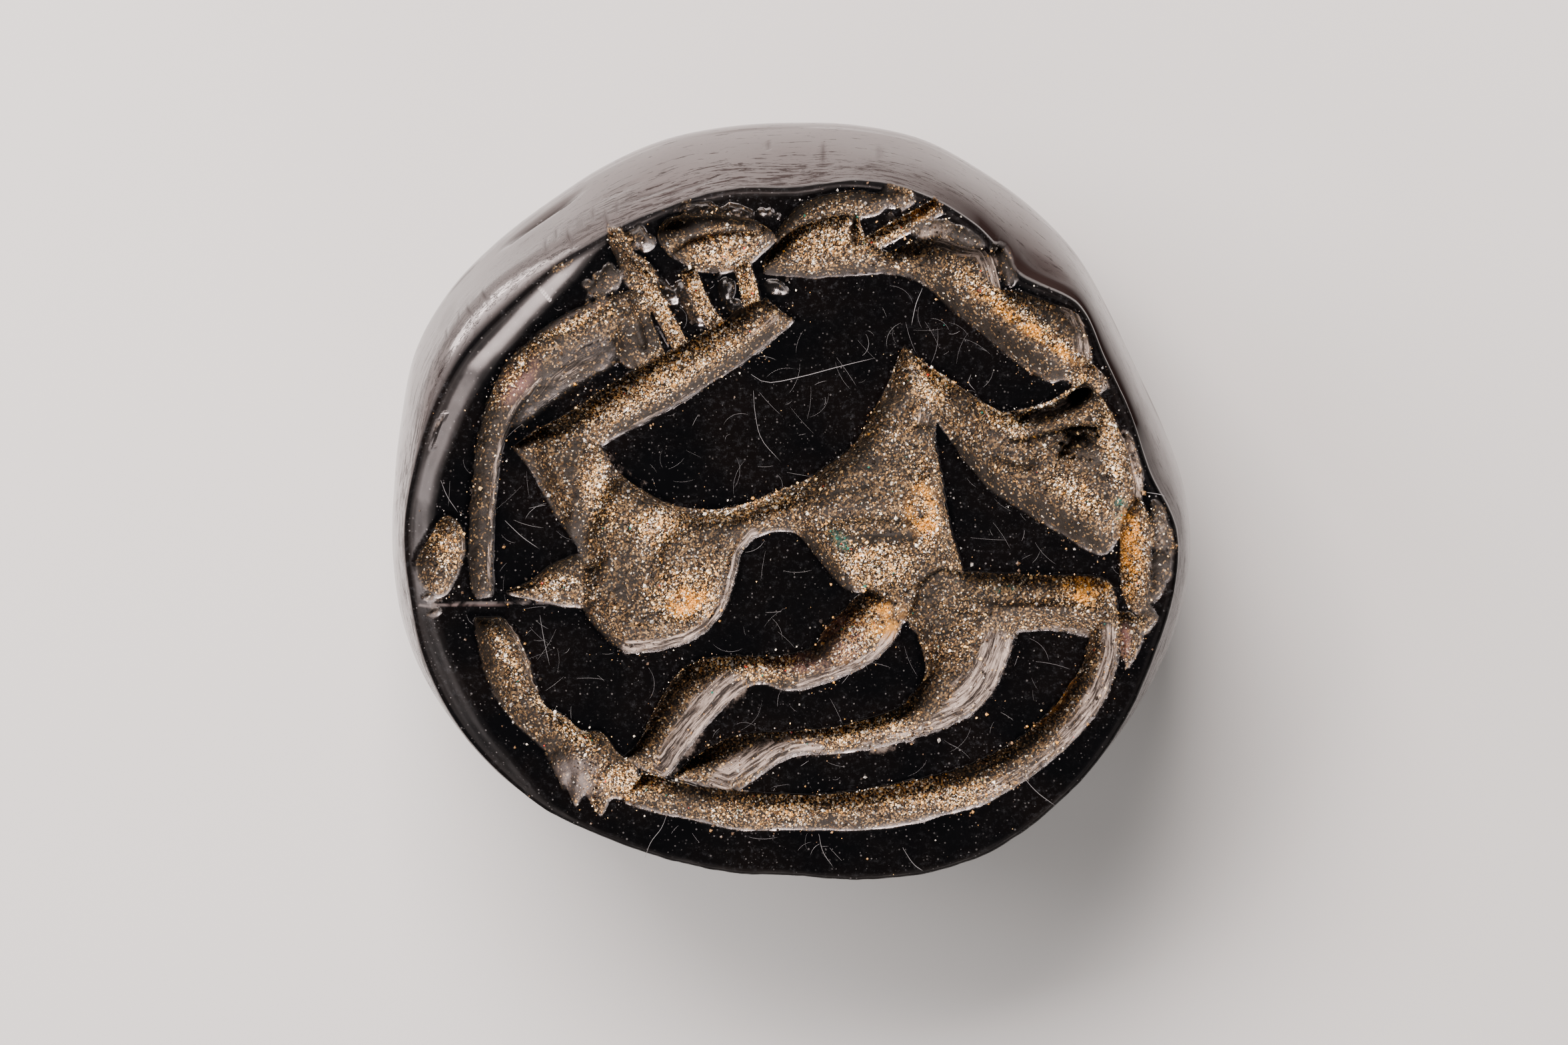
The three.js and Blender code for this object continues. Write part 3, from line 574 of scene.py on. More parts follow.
# Long pale hairs and hairline cracks on the ground
THREADS = [
    [(-3.0, -7.0), (-3.15, -7.4), (-3.4, -7.75), (-3.55, -8.15)],
    [(5.45, -6.1), (5.8, -6.5), (6.25, -6.85)],
    [(0.6, -7.55), (0.7, -8.0), (0.95, -8.4)],
    [(2.6, -7.9), (2.85, -8.3), (3.1, -8.5)],
    [(-6.0, -2.05), (-5.9, -2.7), (-5.78, -3.3)],
    [(-0.95, 3.5), (-0.9, 2.9), (-0.75, 2.3), (-0.3, 1.75)],
    [(-1.0, 3.9), (-0.6, 3.7), (0.2, 3.85), (1.1, 4.1), (1.9, 4.3)],
    [(2.75, 5.1), (2.85, 5.6), (3.0, 6.0)],
    [(8.3, 1.0), (8.6, 0.95), (8.75, 0.9)],
    [(-8.3, 1.3), (-8.15, 0.9), (-7.9, 0.5)],
    [(-6.8, 0.3), (-6.4, -0.1), (-6.0, -0.4)],
    [(4.15, 3.9), (4.1, 3.7), (4.25, 3.5)],
    [(1.2, -2.6), (1.6, -3.0), (1.75, -3.4)],
]


def curve_distance(x, y, points, reach):
    """Distance from each place to a smooth open curve, for places within reach of it."""
    path = spline(points, STROKE_STEPS)
    near = boxed(x, y, path, reach)
    best = np.full(near.sum(), FAR)
    for start, end in zip(path[:-1], path[1:]):
        best = np.minimum(best, way_to_line(x[near], y[near], start, end)[2])
    distance = np.full(x.shape, FAR)
    distance[near] = best
    return distance


def stroked(x, y, rows):
    """How strongly places lie on painted strokes: full in the middle, 0 at 1.5 half widths from it."""
    found = np.zeros(x.shape)
    for points, half, strength in rows:
        share = curve_distance(x, y, points, 1.6 * half) / half
        found = np.maximum(found, strength * (1 - smooth((share - 0.4) / 1.1)))
    return found


def ellipse_share(x, y, place, half, turn):
    """0 at the ellipse's middle, 1 on its outline."""
    turn = math.radians(turn)
    dx, dy = x - place[0], y - place[1]
    along = dx * math.cos(turn) + dy * math.sin(turn)
    across = dy * math.cos(turn) - dx * math.sin(turn)
    return np.hypot(along / half[0], across / half[1])


def blotted(x, y, rows):
    """1 inside soft ellipses and 0 outside them."""
    found = np.zeros(x.shape)
    for place, half, turn in rows:
        found = np.maximum(found, 1 - smooth(ellipse_share(x, y, place, half, turn) * 1.2 - 0.6))
    return found


def wandered(x, y):
    """Shifts places a little, so that the edges of the cuts waver as hand-cut edges do."""
    shift_x, shift_y = (
        EDGE_WANDER * layered_noise(x, y, 0.9, seed) + EDGE_SHIVER * lattice_noise(x, y, 0.16, seed + 6)
        for seed in (31, 41))
    return x + shift_x, y + shift_y


def engraved(x, y):
    """Depth of the cuts, the distance to their edges (plus is inside), and the way to the nearest edge."""
    x, y = wandered(x, y)
    depth = np.zeros(x.shape)
    inside = np.full(x.shape, -FAR)
    way = np.zeros(x.shape + (2,))
    for cut in CUTS + ISLANDS:
        near = cut.near(x, y)
        signed, to_edge, share = cut.measure(x[near], y[near])
        share = np.clip(share, 0, 1)
        if cut.hollow:
            facing = np.where(signed > 0, -to_edge[:, 1], 0) / np.maximum(np.abs(signed), TINY)
            wall = np.sin(np.where(signed > 0, share, 0) * math.pi / 2) ** (0.75 + 0.5 * smooth(facing))
            depth[near] = np.maximum(depth[near], cut.depth * wall)
            nearer = signed > inside[near]
        else:
            depth[near] = np.minimum(depth[near], cut.top + cut.depth * np.where(signed > 0, 0, share))
            signed = -signed
            nearer = signed < inside[near]
        inside[near] = np.where(nearer, signed, inside[near])
        way[near] = np.where(nearer[:, None], to_edge, way[near])
    return depth, inside, way


def shoulder(x, y, rim):
    """How far down the worn terrace places lie: 0 on the face, 1 at the terrace's foot."""
    terrace = periodic(TERRACE_WIDTHS, np.arctan2(y, x))
    wander = 0.05 * layered_noise(x, y, 1.0, 27) + 0.06
    return np.clip((terrace + wander - rim) / TERRACE_RUN, 0, 1) * (terrace > 0.05)


def carved(x, y, rim):
    """The whole depth below the face, how far each place is cut, and its distance inside the cuts."""
    depth, inside, _ = engraved(x, y)
    cut = smooth(depth / (0.09 + 0.05 * lattice_noise(x, y, 0.4, 43)))
    for points, half, height in RIDGES:
        nearness = 1 - smooth(curve_distance(x, y, points, 1.2 * half) / half - 0.2)
        depth = depth - RIDGE_GAIN * height * nearness * np.maximum(cut, 0.3)
    chipped = np.zeros(x.shape)
    for place, half, turn, hollow, ragged, dull in HOLLOWS:
        share = ellipse_share(x, y, place, half, turn) + ragged * layered_noise(x, y, 0.36, 53)
        dish = hollow * np.clip(1 - share**2, 0, 1)
        depth = np.maximum(depth, dish) if hollow > 0 else depth + dish
        chipped = np.maximum(chipped, dull * smooth(4 * (1 - share)))
    cut = np.maximum(cut, chipped)
    fall = shoulder(x, y, rim)
    depth = np.maximum(depth, TERRACE_DROP * fall**3 * (4 - 3 * fall))
    wear = 1 + 0.7 * layered_noise(x, y, 0.5, 29)
    round_off = EDGE_DROP * wear * (1 - np.sqrt(1 - np.clip(1 - rim / (EDGE_RUN * wear), 0, 1) ** 2))
    grit = GRIT_HEIGHT * layered_noise(x, y, 0.35, 11) + FINE_GRIT_HEIGHT * lattice_noise(x, y, 0.09, 17)
    dips = DIP_DEPTH * layered_noise(x, y, 1.5, 23)
    return np.maximum(depth, round_off) + cut * grit + dips, cut, inside


# ---------------------------------------------------------------- the stone's form

def outline_centre():
    """The middle of the stone's widest section, which is the origin of the row frame."""
    angle = np.linspace(0, 2 * math.pi, 720)
    ring = periodic(GIRTH_RADII, angle) * np.array([np.cos(angle), np.sin(angle), 0 * angle])
    return (ring.max(1) + ring.min(1)) / 2


def face_grid():
    """Grid points on a disc, as unit-disc x and y arrays, from a square grid with equal cell areas."""
    line = np.linspace(-1, 1, FACE_CELLS + 1)
    a, b = np.meshgrid(line, line, indexing="ij")
    wide = np.abs(a) > np.abs(b)
    with np.errstate(divide="ignore", invalid="ignore"):
        turn_wide = math.pi / 4 * b / a
        turn_tall = math.pi / 2 - math.pi / 4 * a / b
    radius = np.where(wide, a, b)
    angle = np.nan_to_num(np.where(wide, turn_wide, turn_tall))
    return radius * np.cos(angle), radius * np.sin(angle)


def snapped(x, y):
    """Moves the grid points nearest each outline onto it, so that the cuts have crisp edges.

    Also tells the upper edges of the cuts, as 1, from the lower ones, as 0.
    """
    _, inside, way = engraved(x, y)
    close = np.abs(inside) < SNAP_REACH * 2 * FACE_RADII.mean() / FACE_CELLS
    upper = way[..., 1] * np.sign(inside) / np.maximum(np.abs(inside), TINY)
    return x + close * way[..., 0], y + close * way[..., 1], smooth(0.7 + upper)


def face_surface():
    """The face's points in mm, with the values that its material and the sand read."""
    u, v = face_grid()
    edge = periodic(FACE_RADII, np.arctan2(v, u))
    x, y, upper = snapped(u * edge, v * edge)
    rim = edge - np.hypot(x, y)
    depth, cut, inside = carved(x, y, rim)
    patchy = layered_noise(x, y, 0.8, 61)
    # The pale strokes: bare stone without sand, partly painted light on walls that face the key light and
    # painted highlights.
    pale = stroked(x, y, BARE_STONE_AND_PAINTED_LIGHT) * smooth(1.15 + patchy) * np.maximum(cut, 0.4)
    # The dark strokes: walls without sand and shine, partly painted shade where hollows and slopes lie in
    # shadow.
    dark = stroked(x, y, DARK_STONE_AND_PAINTED_SHADE)
    thick = blotted(x, y, THICK_SAND)
    cover = np.clip(0.48 + 0.55 * patchy + 0.6 * thick, 0, 1)
    crack = stroked(x, y, CRACK) * (1 - cut) * smooth(0.55 + 1.2 * layered_noise(x, y, 0.14, 67))
    dusty = 0.8 * blotted(x, y, DUST) * smooth(0.75 + layered_noise(x, y, 0.35, 73)) * cut
    worn = smooth(5 * shoulder(x, y, rim))
    values = {
        "cut": cut,
        "pale": pale,
        "dark": np.maximum(dark * cut, 0.85 * worn * smooth((-0.8 - y) / 1.5)),
        "shoulder": worn,
        "lip": smooth((LIP_WIDTH - np.abs(inside)) / LIP_FADE) * np.maximum(upper, dark),
        "sand": cut * (1 - PALE_LOSS * pale) * (1 - DARK_LOSS * dark) * cover,
        "orange": blotted(x, y, ORANGE) * smooth(0.6 + layered_noise(x, y, 0.3, 71)) * cut,
        "rosy": blotted(x, y, ROSY) * smooth(0.7 + patchy) * np.maximum(cut, crack),
        "green": blotted(x, y, GREEN) * smooth(0.4 + layered_noise(x, y, 0.2, 81)) * cut,
        "dust": np.maximum(crack, dusty),
        "across": np.clip(inside, 0, 2),
        "edge": 1 - smooth((rim - 0.08) / 0.16),
    }
    loose = {
        "thick": thick * cut,
        "spilt": 0.07 * np.exp(-np.clip(-inside, 0, FAR) / 0.12) * (inside < 0) * smooth(0.5 + patchy),
    }
    return x, y, FACE_HEIGHT - depth, values, loose


def off_turn(degrees, middle):
    """How far a direction lies from a middle one, round the stone, from -180 to 180 degrees."""
    return np.mod(degrees - middle + 180, 360) - 180


def side_share(degrees, height, turn, level, half_turn, half_height):
    """0 at the middle of an ellipse on the side, 1 on its outline."""
    return np.hypot(off_turn(degrees, turn) / half_turn, (height - level) / half_height)


def bevel_share(degrees):
    """1 at the middle of the bevelled corner and 0 past its ends."""
    return 1 - smooth(np.abs(off_turn(degrees, BEVEL_MIDDLE)) / BEVEL_REACH)


def side_values(points):
    """The values of the places below the face's edge: the edge itself, dull smears, and the polished side."""
    angle = np.arctan2(points[:, 1], points[:, 0])
    height = points[:, 2]
    dull = np.clip(periodic(SIDE_SHADES, angle), 0, 1) * smooth((height - SHADE_START) / SHADE_RISE)
    for *smear, strength in SIDE_SMEARS:
        share = side_share(np.degrees(angle), height, *smear)
        dull = np.maximum(dull, strength * (1 - smooth(share * 1.2 - 0.4)))
    return {
        "edge": 1 - smooth((FACE_HEIGHT - EDGE_DROP - height) / 0.1),
        "smear": dull,
        "side": 1 - 0.75 * bevel_share(np.degrees(angle)),
    }


def ring_points(angle, rim_height, down_side, down_back):
    """One ring of the side or the back, from the stone's two outlines."""
    face_radius = periodic(FACE_RADII, angle)
    girth_radius = periodic(GIRTH_RADII, angle)
    if down_back == 0:
        height = rim_height + (GIRTH_HEIGHT - rim_height) * down_side
        top = FACE_HEIGHT - EDGE_DROP
        down = np.clip((top - height) / (top - GIRTH_HEIGHT), 0, 1)
        bevel = 0.9 * np.sin(np.clip(down / BEVEL_SHARE, 0, 1) * math.pi / 2) + 0.1 * down
        bevelled = bevel_share(np.degrees(angle))
        swell = bevelled * bevel + (1 - bevelled) * np.sin(down * math.pi / 2)
        radius = face_radius + (girth_radius - face_radius) * swell
        for *dent, hollow in SIDE_DENTS:
            share = side_share(np.degrees(angle), height, *dent)
            radius = radius - hollow * np.clip(1 - share**2, 0, 1) ** 2
        radius = radius + 0.012 * lattice_noise(angle * 9, height, 1.1, 91)
    else:
        height = np.full(angle.shape, GIRTH_HEIGHT * math.cos(down_back * math.pi / 2))
        radius = girth_radius * (1 - ((GIRTH_HEIGHT - height) / BACK_DEPTH) ** BACK_POWER) ** (1 / BACK_POWER)
    return np.column_stack([radius * np.cos(angle), radius * np.sin(angle), height])


def stone_mesh():
    """The whole stone as one closed mesh in mm: points, triangles, which part each is of, face values."""
    x, y, z, values, loose = face_surface()
    count = FACE_CELLS + 1
    face_points = np.column_stack([x.ravel(), y.ravel(), z.ravel()])
    index = np.arange(count * count).reshape(count, count)
    a, b, c, d = index[:-1, :-1], index[1:, :-1], index[1:, 1:], index[:-1, 1:]
    level = z.ravel()
    split = (np.abs(level[a] - level[c]) < np.abs(level[b] - level[d]))[..., None]
    first = np.where(split, np.stack([a, b, c], -1), np.stack([a, b, d], -1))
    second = np.where(split, np.stack([a, c, d], -1), np.stack([b, c, d], -1))
    triangles = [first.reshape(-1, 3), second.reshape(-1, 3)]
    parts = [np.full(2 * FACE_CELLS**2, ON_FACE)]

    ring = np.concatenate([index[:-1, 0], index[-1, :-1], index[:0:-1, -1], index[0, :0:-1]])
    angle = np.arctan2(face_points[ring, 1], face_points[ring, 0])
    rim_height = face_points[ring, 2]
    points = [face_points]
    total = len(face_points)
    halve_at = {0, SIDE_ROWS + BACK_ROWS // 2, SIDE_ROWS + BACK_ROWS - 3}   # rings with half as many points
    for number in range(SIDE_ROWS + BACK_ROWS):
        down_side = min((number + 1) / SIDE_ROWS, 1.0)
        down_back = max((number + 1 - SIDE_ROWS) / BACK_ROWS, 0.0)
        step = 2 if number in halve_at else 1
        angle, rim_height = angle[::step], rim_height[::step]
        points.append(ring_points(angle, rim_height, down_side, down_back))
        below = np.arange(total, total + len(angle))
        total += len(angle)
        after, below_after = np.roll(ring[::step], -1), np.roll(below, -1)
        if step == 2:
            even, odd = ring[::2], ring[1::2]
            added = [(even, below, odd), (odd, below, below_after), (odd, below_after, after)]
        else:
            added = [(ring, below, after), (after, below, below_after)]
        triangles += map(np.column_stack, added)
        parts.append(np.full(len(added) * len(below), ON_SIDE if down_back == 0 else ON_BACK))
        ring = below
    points.append(np.zeros((1, 3)))
    triangles.append(np.column_stack([ring, np.full(len(ring), total), np.roll(ring, -1)]))
    parts.append(np.full(len(ring), ON_BACK))
    return np.vstack(points), np.vstack(triangles), np.concatenate(parts), values, loose


def mesh_object(name, points, triangles, smooth_faces=True):
    """A piece from points in the drawing's millimetres, moved to its place in the frame."""
    mesh = bpy.data.meshes.new(name)
    mesh.from_pydata((points - outline_centre()) * MM, [], triangles)
    mesh.polygons.foreach_set("use_smooth", np.full(len(triangles), smooth_faces))
    piece = bpy.data.objects.new(name, mesh)
    bpy.context.scene.collection.objects.link(piece)
    return piece


def set_values(piece, name, values):
    """A point attribute for the materials."""
    layer = piece.data.attributes.new(name, "FLOAT", "POINT")
    layer.data.foreach_set("value", values.astype(np.float32))


def set_bake_map(piece, corners):
    """The texture map named OFBake, for baking the materials into, from one place per triangle corner."""
    layer = piece.data.uv_layers.new(name="OFBake")
    layer.data.foreach_set("uv", corners.astype(np.float32).ravel())


# The texture map: where the face, the back and the side start in it, and how large they are
MAP_REACH = 20.0           # width in mm of the square around the stone that the two discs' places cover
FACE_MAP = (0.005, 0.79)
BACK_MAP = (np.array([0.8, 0.0]), 0.195)
SIDE_MAP_ALONG = (0.01, 0.97)
SIDE_MAP_UP = (0.82, 0.16)


def stone_map(points, triangles, parts):
    """Texture places: the face as a large disc, the side as a strip above it, the back as a small disc."""
    corner = points[triangles]
    across = corner[..., :2] / MAP_REACH + 0.5
    face, back = (start + size * across for start, size in (FACE_MAP, BACK_MAP))
    angle = np.arctan2(corner[..., 0], corner[..., 1])
    angle = angle[:, :1] + np.mod(angle - angle[:, :1] + math.pi, 2 * math.pi) - math.pi
    along = SIDE_MAP_ALONG[0] + SIDE_MAP_ALONG[1] * (angle / (2 * math.pi) + 0.5)
    level = (corner[..., 2] - GIRTH_HEIGHT) / (FACE_HEIGHT - GIRTH_HEIGHT)
    up = SIDE_MAP_UP[0] + SIDE_MAP_UP[1] * level
    side = np.stack([np.clip(along, 0, 1), up], -1)
    kind = parts[:, None, None]
    return np.where(kind == ON_FACE, face, np.where(kind == ON_SIDE, side, back))


# ---------------------------------------------------------------- sand and lint

# A grain: its corners before they are made uneven, and its facets
CORNERS = np.array([[1, 0, 0], [-1, 0, 0], [0, 1, 0], [0, -1, 0], [0, 0, 1], [0, 0, -1]], float)
FACETS = np.array([[0, 2, 4], [2, 1, 4], [1, 3, 4], [3, 0, 4], [2, 0, 5], [1, 2, 5], [3, 1, 5], [0, 3, 5]])
# Each sand mesh: its name, the usual radius of its grains in mm, and how much the radii vary
SAND_SIZES = [("coarse_sand", 0.029, 0.35), ("medium_sand", 0.02, 0.25), ("fine_sand", 0.015, 0.2)]
SIZE_LIMITS = (0.6, 2.4)       # smallest and largest radius, as shares of the usual one
UNEVENNESS = (0.6, 1.2)        # how far a grain's corners lie from its middle, in radii
GRAIN_RISE = 0.3               # how far a grain's middle lies above the floor, in radii
STRAY_SAND = 0.0004            # how likely a grain is on the bare ground
SAND_ROUGHNESS = 0.36
HAIR_FIELD = 8.2               # hairs start within this radius
HAIR_LENGTHS = (0.15, 1.0)
HAIR_BEND = 0.4
HAIR_RADII = (0.0015, 0.0035)
LONG_HAIR_RADIUS = 0.008
FLAT_DEPTH = 0.03              # hairs keep off what lies deeper than this
RIM_MARGIN = 0.4               # and this far inside the edge of the face
LINT_COLOUR = (0.19, 0.185, 0.19)
# Sand colours, with how many of each in thick and in thin sand
SAND_COLOURS = [
    ((1.0, 0.90, 0.74), 14, 5),
    ((0.93, 0.62, 0.27), 19, 9),
    ((0.60, 0.31, 0.09), 13, 9),
    ((0.27, 0.145, 0.055), 11, 10),
    ((0.36, 0.33, 0.30), 5, 8),
    ((0.085, 0.048, 0.025), 18, 26),
    ((0.018, 0.013, 0.010), 18, 36),
    ((0.82, 0.37, 0.05), 2, 1),
    ((0.02, 0.17, 0.12), 0.25, 0.25),
    ((0.75, 0.05, 0.02), 0.2, 0.1),
]
# Which sand colour the stained places take, and how much of it
STAINED_GRAINS = (("orange", 7, 0.75), ("green", 8, 0.85))

def scattered(points, triangles, weight, count):
    """Random places on the triangles, chosen by their area and by the weight of their corners."""
    corner = points[triangles]
    area = np.linalg.norm(np.cross(corner[:, 1] - corner[:, 0], corner[:, 2] - corner[:, 0]), axis=1)
    chance = area * weight[triangles].mean(1)
    chosen = RANDOM.choice(len(triangles), count, p=chance / chance.sum())
    share = RANDOM.dirichlet((1, 1, 1), count)
    return (corner[chosen] * share[..., None]).sum(1), chosen, share


def turned(shapes):
    """The shapes, each turned at random by a quaternion."""
    w, *axis = RANDOM.normal(size=(4, len(shapes)))
    size = np.sqrt(w * w + sum(part * part for part in axis))
    w = (w / size)[:, None, None]
    axis = (np.array(axis) / size).T[:, None]
    return shapes + 2 * np.cross(axis, np.cross(axis, shapes) + w * shapes)


def grains_object(name, places, radii, tones):
    """Many small uneven eight-sided grains as one mesh, each with a colour number."""
    uneven = CORNERS * RANDOM.uniform(*UNEVENNESS, (len(places), len(CORNERS), 1))
    points = places[:, None] + turned(uneven) * radii[:, None, None]
    triangles = FACETS + len(CORNERS) * np.arange(len(places))[:, None, None]
    piece = mesh_object(name, points.reshape(-1, 3), triangles.reshape(-1, 3), smooth_faces=False)
    colours = len(SAND_COLOURS)
    set_values(piece, "tone", np.repeat((tones + 0.5) / colours, len(CORNERS)))
    corner_u = (np.repeat(tones, len(FACETS))[:, None] + [0.1, 0.9, 0.5]) / colours
    corner_v = np.broadcast_to([0.02, 0.02, 0.98], corner_u.shape)
    set_bake_map(piece, np.stack([corner_u, corner_v], -1))
    return piece


def sand_grains(points, triangles, values, size, spread):
    """Grains on the floors of the cuts, thickest where the sand lies thick, and a few on the ground."""
    face = triangles[:2 * FACE_CELLS**2]
    sand, spilt, thick = (values[name].ravel() for name in ("sand", "spilt", "thick"))
    weight = sand**1.5 * (0.5 + thick) + spilt + STRAY_SAND
    places, chosen, share = scattered(points, face, weight, GRAINS)
    plenty = (thick[face[chosen]] * share).sum(1)
    chances = np.array([row[1:] for row in SAND_COLOURS], float)
    chances /= chances.sum(0)
    table = chances[:, :1] * plenty + chances[:, 1:] * (1 - plenty)
    draws = RANDOM.random(GRAINS)
    tones = (draws > np.cumsum(table, 0)).sum(0).clip(0, len(SAND_COLOURS) - 1)
    for stain, tone, strength in STAINED_GRAINS:
        strong = (values[stain].ravel()[face[chosen]] * share).sum(1)
        tones[RANDOM.random(GRAINS) < strength * strong] = tone
    smallest, largest = (share * size for share in SIZE_LIMITS)
    radii = RANDOM.lognormal(math.log(size), spread, GRAINS).clip(smallest, largest)
    places[:, 2] += GRAIN_RISE * radii
    return places, radii, tones


def hair_lines():
    """Middle lines of short curved hairs that lie wholly on the polished ground, with their headings."""
    tries = (4 * HAIRS, 1)
    angle, radius = RANDOM.uniform(0, 2 * math.pi, tries), HAIR_FIELD * np.sqrt(RANDOM.random(tries))
    heading, bend = RANDOM.uniform(0, 2 * math.pi, tries), RANDOM.normal(0, HAIR_BEND, tries)
    length = RANDOM.uniform(*HAIR_LENGTHS, tries)
    way = heading + bend * np.linspace(-1, 1, HAIR_STOPS)
    x = radius * np.cos(angle) + np.cumsum(np.cos(way), 1) * length / HAIR_STOPS
    y = radius * np.sin(angle) + np.cumsum(np.sin(way), 1) * length / HAIR_STOPS
    rim = periodic(FACE_RADII, np.arctan2(y, x)) - np.hypot(x, y)
    depth = carved(x, y, rim)[0]
    lying = np.flatnonzero((depth.max(1) < FLAT_DEPTH) & (rim.min(1) > RIM_MARGIN))[:HAIRS]
    short = np.stack([x[lying], y[lying], FACE_HEIGHT - depth[lying]], -1)
    return short, way[lying]


def thread_lines():
    """The same for the long hairs whose paths are listed."""
    lines = []
    for points in THREADS:
        path = spline(points, HAIR_STOPS)
        lines.append(path[np.linspace(0, len(path) - 1, HAIR_STOPS).astype(int)])
    lines = np.array(lines)
    step = np.gradient(lines, axis=1)
    long = np.concatenate([lines, np.full(lines.shape[:2] + (1,), FACE_HEIGHT)], -1)
    return long, np.arctan2(step[..., 1], step[..., 0])


def lint_object(name):
    """The hairs as thin closed three-sided tubes, in one mesh."""
    centre, way = map(np.concatenate, zip(hair_lines(), thread_lines()))
    thick = RANDOM.uniform(*HAIR_RADII, len(centre))[:, None]
    thick[-len(THREADS):] = LONG_HAIR_RADIUS
    taper = thick * np.sqrt(1 - np.linspace(-0.95, 0.95, HAIR_STOPS) ** 2)
    centre[..., 2] += thick
    across = np.stack([-np.sin(way), np.cos(way), np.zeros(way.shape)], -1)
    upright = np.array([0, 0, 1])
    sides = [centre + taper[..., None] * (across * math.cos(turn) + upright * math.sin(turn))
             for turn in (0, 2 * math.pi / 3, 4 * math.pi / 3)]
    line = np.arange(HAIR_STOPS)
    rows = []
    for corner in range(3):
        a, b = line + corner * HAIR_STOPS, line + (corner + 1) % 3 * HAIR_STOPS
        rows += [np.column_stack([a[:-1], a[1:], b[1:]]), np.column_stack([a[:-1], b[1:], b[:-1]])]
    first = np.arange(3) * HAIR_STOPS
    last = first[::-1] + HAIR_STOPS - 1
    triangles = np.vstack([*rows, first, last]) + 3 * HAIR_STOPS * np.arange(len(centre))[:, None, None]
    return mesh_object(name, np.stack(sides, 1).reshape(-1, 3), triangles.reshape(-1, 3))


# ---------------------------------------------------------------- materials

# Stains over the stone's colour: the value that places them, their strength and their colour
STAIN_COLOURS = [
    ("orange", 0.8, (0.46, 0.20, 0.025)),
    ("rosy", 0.5, (0.32, 0.16, 0.15)),
    ("green", 0.6, (0.02, 0.09, 0.07)),
    ("dust", 0.55, (0.34, 0.29, 0.28)),
]
# How much of the polished stone's shine each value takes away
DULLING = {"cut": 0.88, "lip": 0.98, "pale": 0.8, "dark": 0.94, "edge": 0.97}
PATCHY_DULLING = 0.45
STONE_IOR = 2.1
SHINE_TINT = (1.0, 0.9, 0.885, 1)


def material(name):
    made = bpy.data.materials.new(name)
    made.use_nodes = True
    made.node_tree.nodes.clear()
    return made, made.node_tree


def node(tree, kind, inputs=None, **settings):
    """A new node with its settings; each input is a value or another node's output to link."""
    made = tree.nodes.new(kind)
    for key, value in settings.items():
        setattr(made, key, value)
    for key, value in (inputs or {}).items():
        if isinstance(value, bpy.types.NodeSocket):
            tree.links.new(value, made.inputs[key])
        else:
            made.inputs[key].default_value = value
    return made


def surface(tree, inputs):
    """The material's shader and its output."""
    shader = node(tree, "ShaderNodeBsdfPrincipled", inputs)
    node(tree, "ShaderNodeOutputMaterial", {"Surface": shader.outputs[0]})


def calc(tree, operation, first, *others):
    """One number from two or more, by the same operation again and again."""
    for other in others:
        first = node(tree, "ShaderNodeMath", {0: first, 1: other}, operation=operation).outputs[0]
    return first


def times(tree, *values):
    return calc(tree, "MULTIPLY", *values)


def remap(tree, value, low, high):
    """0 at low, 1 at high, smooth between."""
    return node(tree, "ShaderNodeMapRange", {"Value": value, "From Min": low, "From Max": high},
                interpolation_type="SMOOTHSTEP").outputs[0]


def mix(tree, share, a, b):
    """A colour between two others."""
    a, b = ((*colour, 1) if isinstance(colour, tuple) else colour for colour in (a, b))
    return node(tree, "ShaderNodeMix", {0: share, 6: a, 7: b}, data_type="RGBA").outputs[2]


def own_place(tree):
    return node(tree, "ShaderNodeTexCoord").outputs["Object"]


def in_mm(tree, stretch=(1, 1, 1)):
    """The piece's own coordinates in millimetres, stretched."""
    scale = tuple(part / MM for part in stretch)
    return node(tree, "ShaderNodeVectorMath", {0: own_place(tree), 1: scale}, operation="MULTIPLY").outputs[0]


def noise(tree, vector, scale, detail=2.0, roughness=0.5):
    return node(tree, "ShaderNodeTexNoise", {"Vector": vector, "Scale": scale, "Detail": detail,
                "Roughness": roughness}).outputs["Fac"]


def attribute(tree, name):
    return node(tree, "ShaderNodeAttribute", attribute_name=name).outputs["Fac"]


def cells(tree, place, per_mm):
    """Small uneven cells: the distance from each one's middle, and three random numbers for each."""
    pattern = node(tree, "ShaderNodeTexVoronoi", {"Vector": place, "Scale": per_mm}).outputs
    return pattern["Distance"], node(tree, "ShaderNodeSeparateColor", {0: pattern["Color"]}).outputs


def specks(tree, place, per_mm, size):
    """Scattered dots of uneven brightness: 0 between them and up to 1 in them."""
    distance, lot = cells(tree, place, per_mm)
    inside = calc(tree, "LESS_THAN", distance, times(tree, lot[0], size))
    return times(tree, inside, calc(tree, "POWER", lot[1], 3.0))


def ground_colour(tree, place):
    """Polished black with faint blue and brown clouds and pale specks."""
    cloud = noise(tree, place, 0.5, 3)
    black = mix(tree, remap(tree, cloud, 0.35, 0.68), (0.0009, 0.0010, 0.0013), (0.0024, 0.0017, 0.0016))
    haze = times(tree, remap(tree, noise(tree, place, 6.0, 6, 0.85), 0.5, 0.8), remap(tree, cloud, 0.3, 0.7))
    hazy = mix(tree, haze, black, (0.04, 0.041, 0.045))
    small = mix(tree, specks(tree, place, 12.0, 0.3), hazy, (0.09, 0.085, 0.085))
    return mix(tree, specks(tree, place, 2.0, 0.055), small, (0.45, 0.42, 0.38))


def grit_colours(tree, place, stone):
    """The finest sand, as tiny cells in sand tones with the stone dark between them, thick and thin."""
    _, lot = cells(tree, place, 24.0)
    tone = mix(tree, lot[0], (0.045, 0.024, 0.012), (0.3, 0.19, 0.09))
    tone = mix(tree, remap(tree, lot[2], 0.88, 0.98), tone, (0.75, 0.66, 0.52))
    return [mix(tree, remap(tree, lot[1], *limits), stone, tone) for limits in ((0.45, 0.75), (0.84, 0.94))]


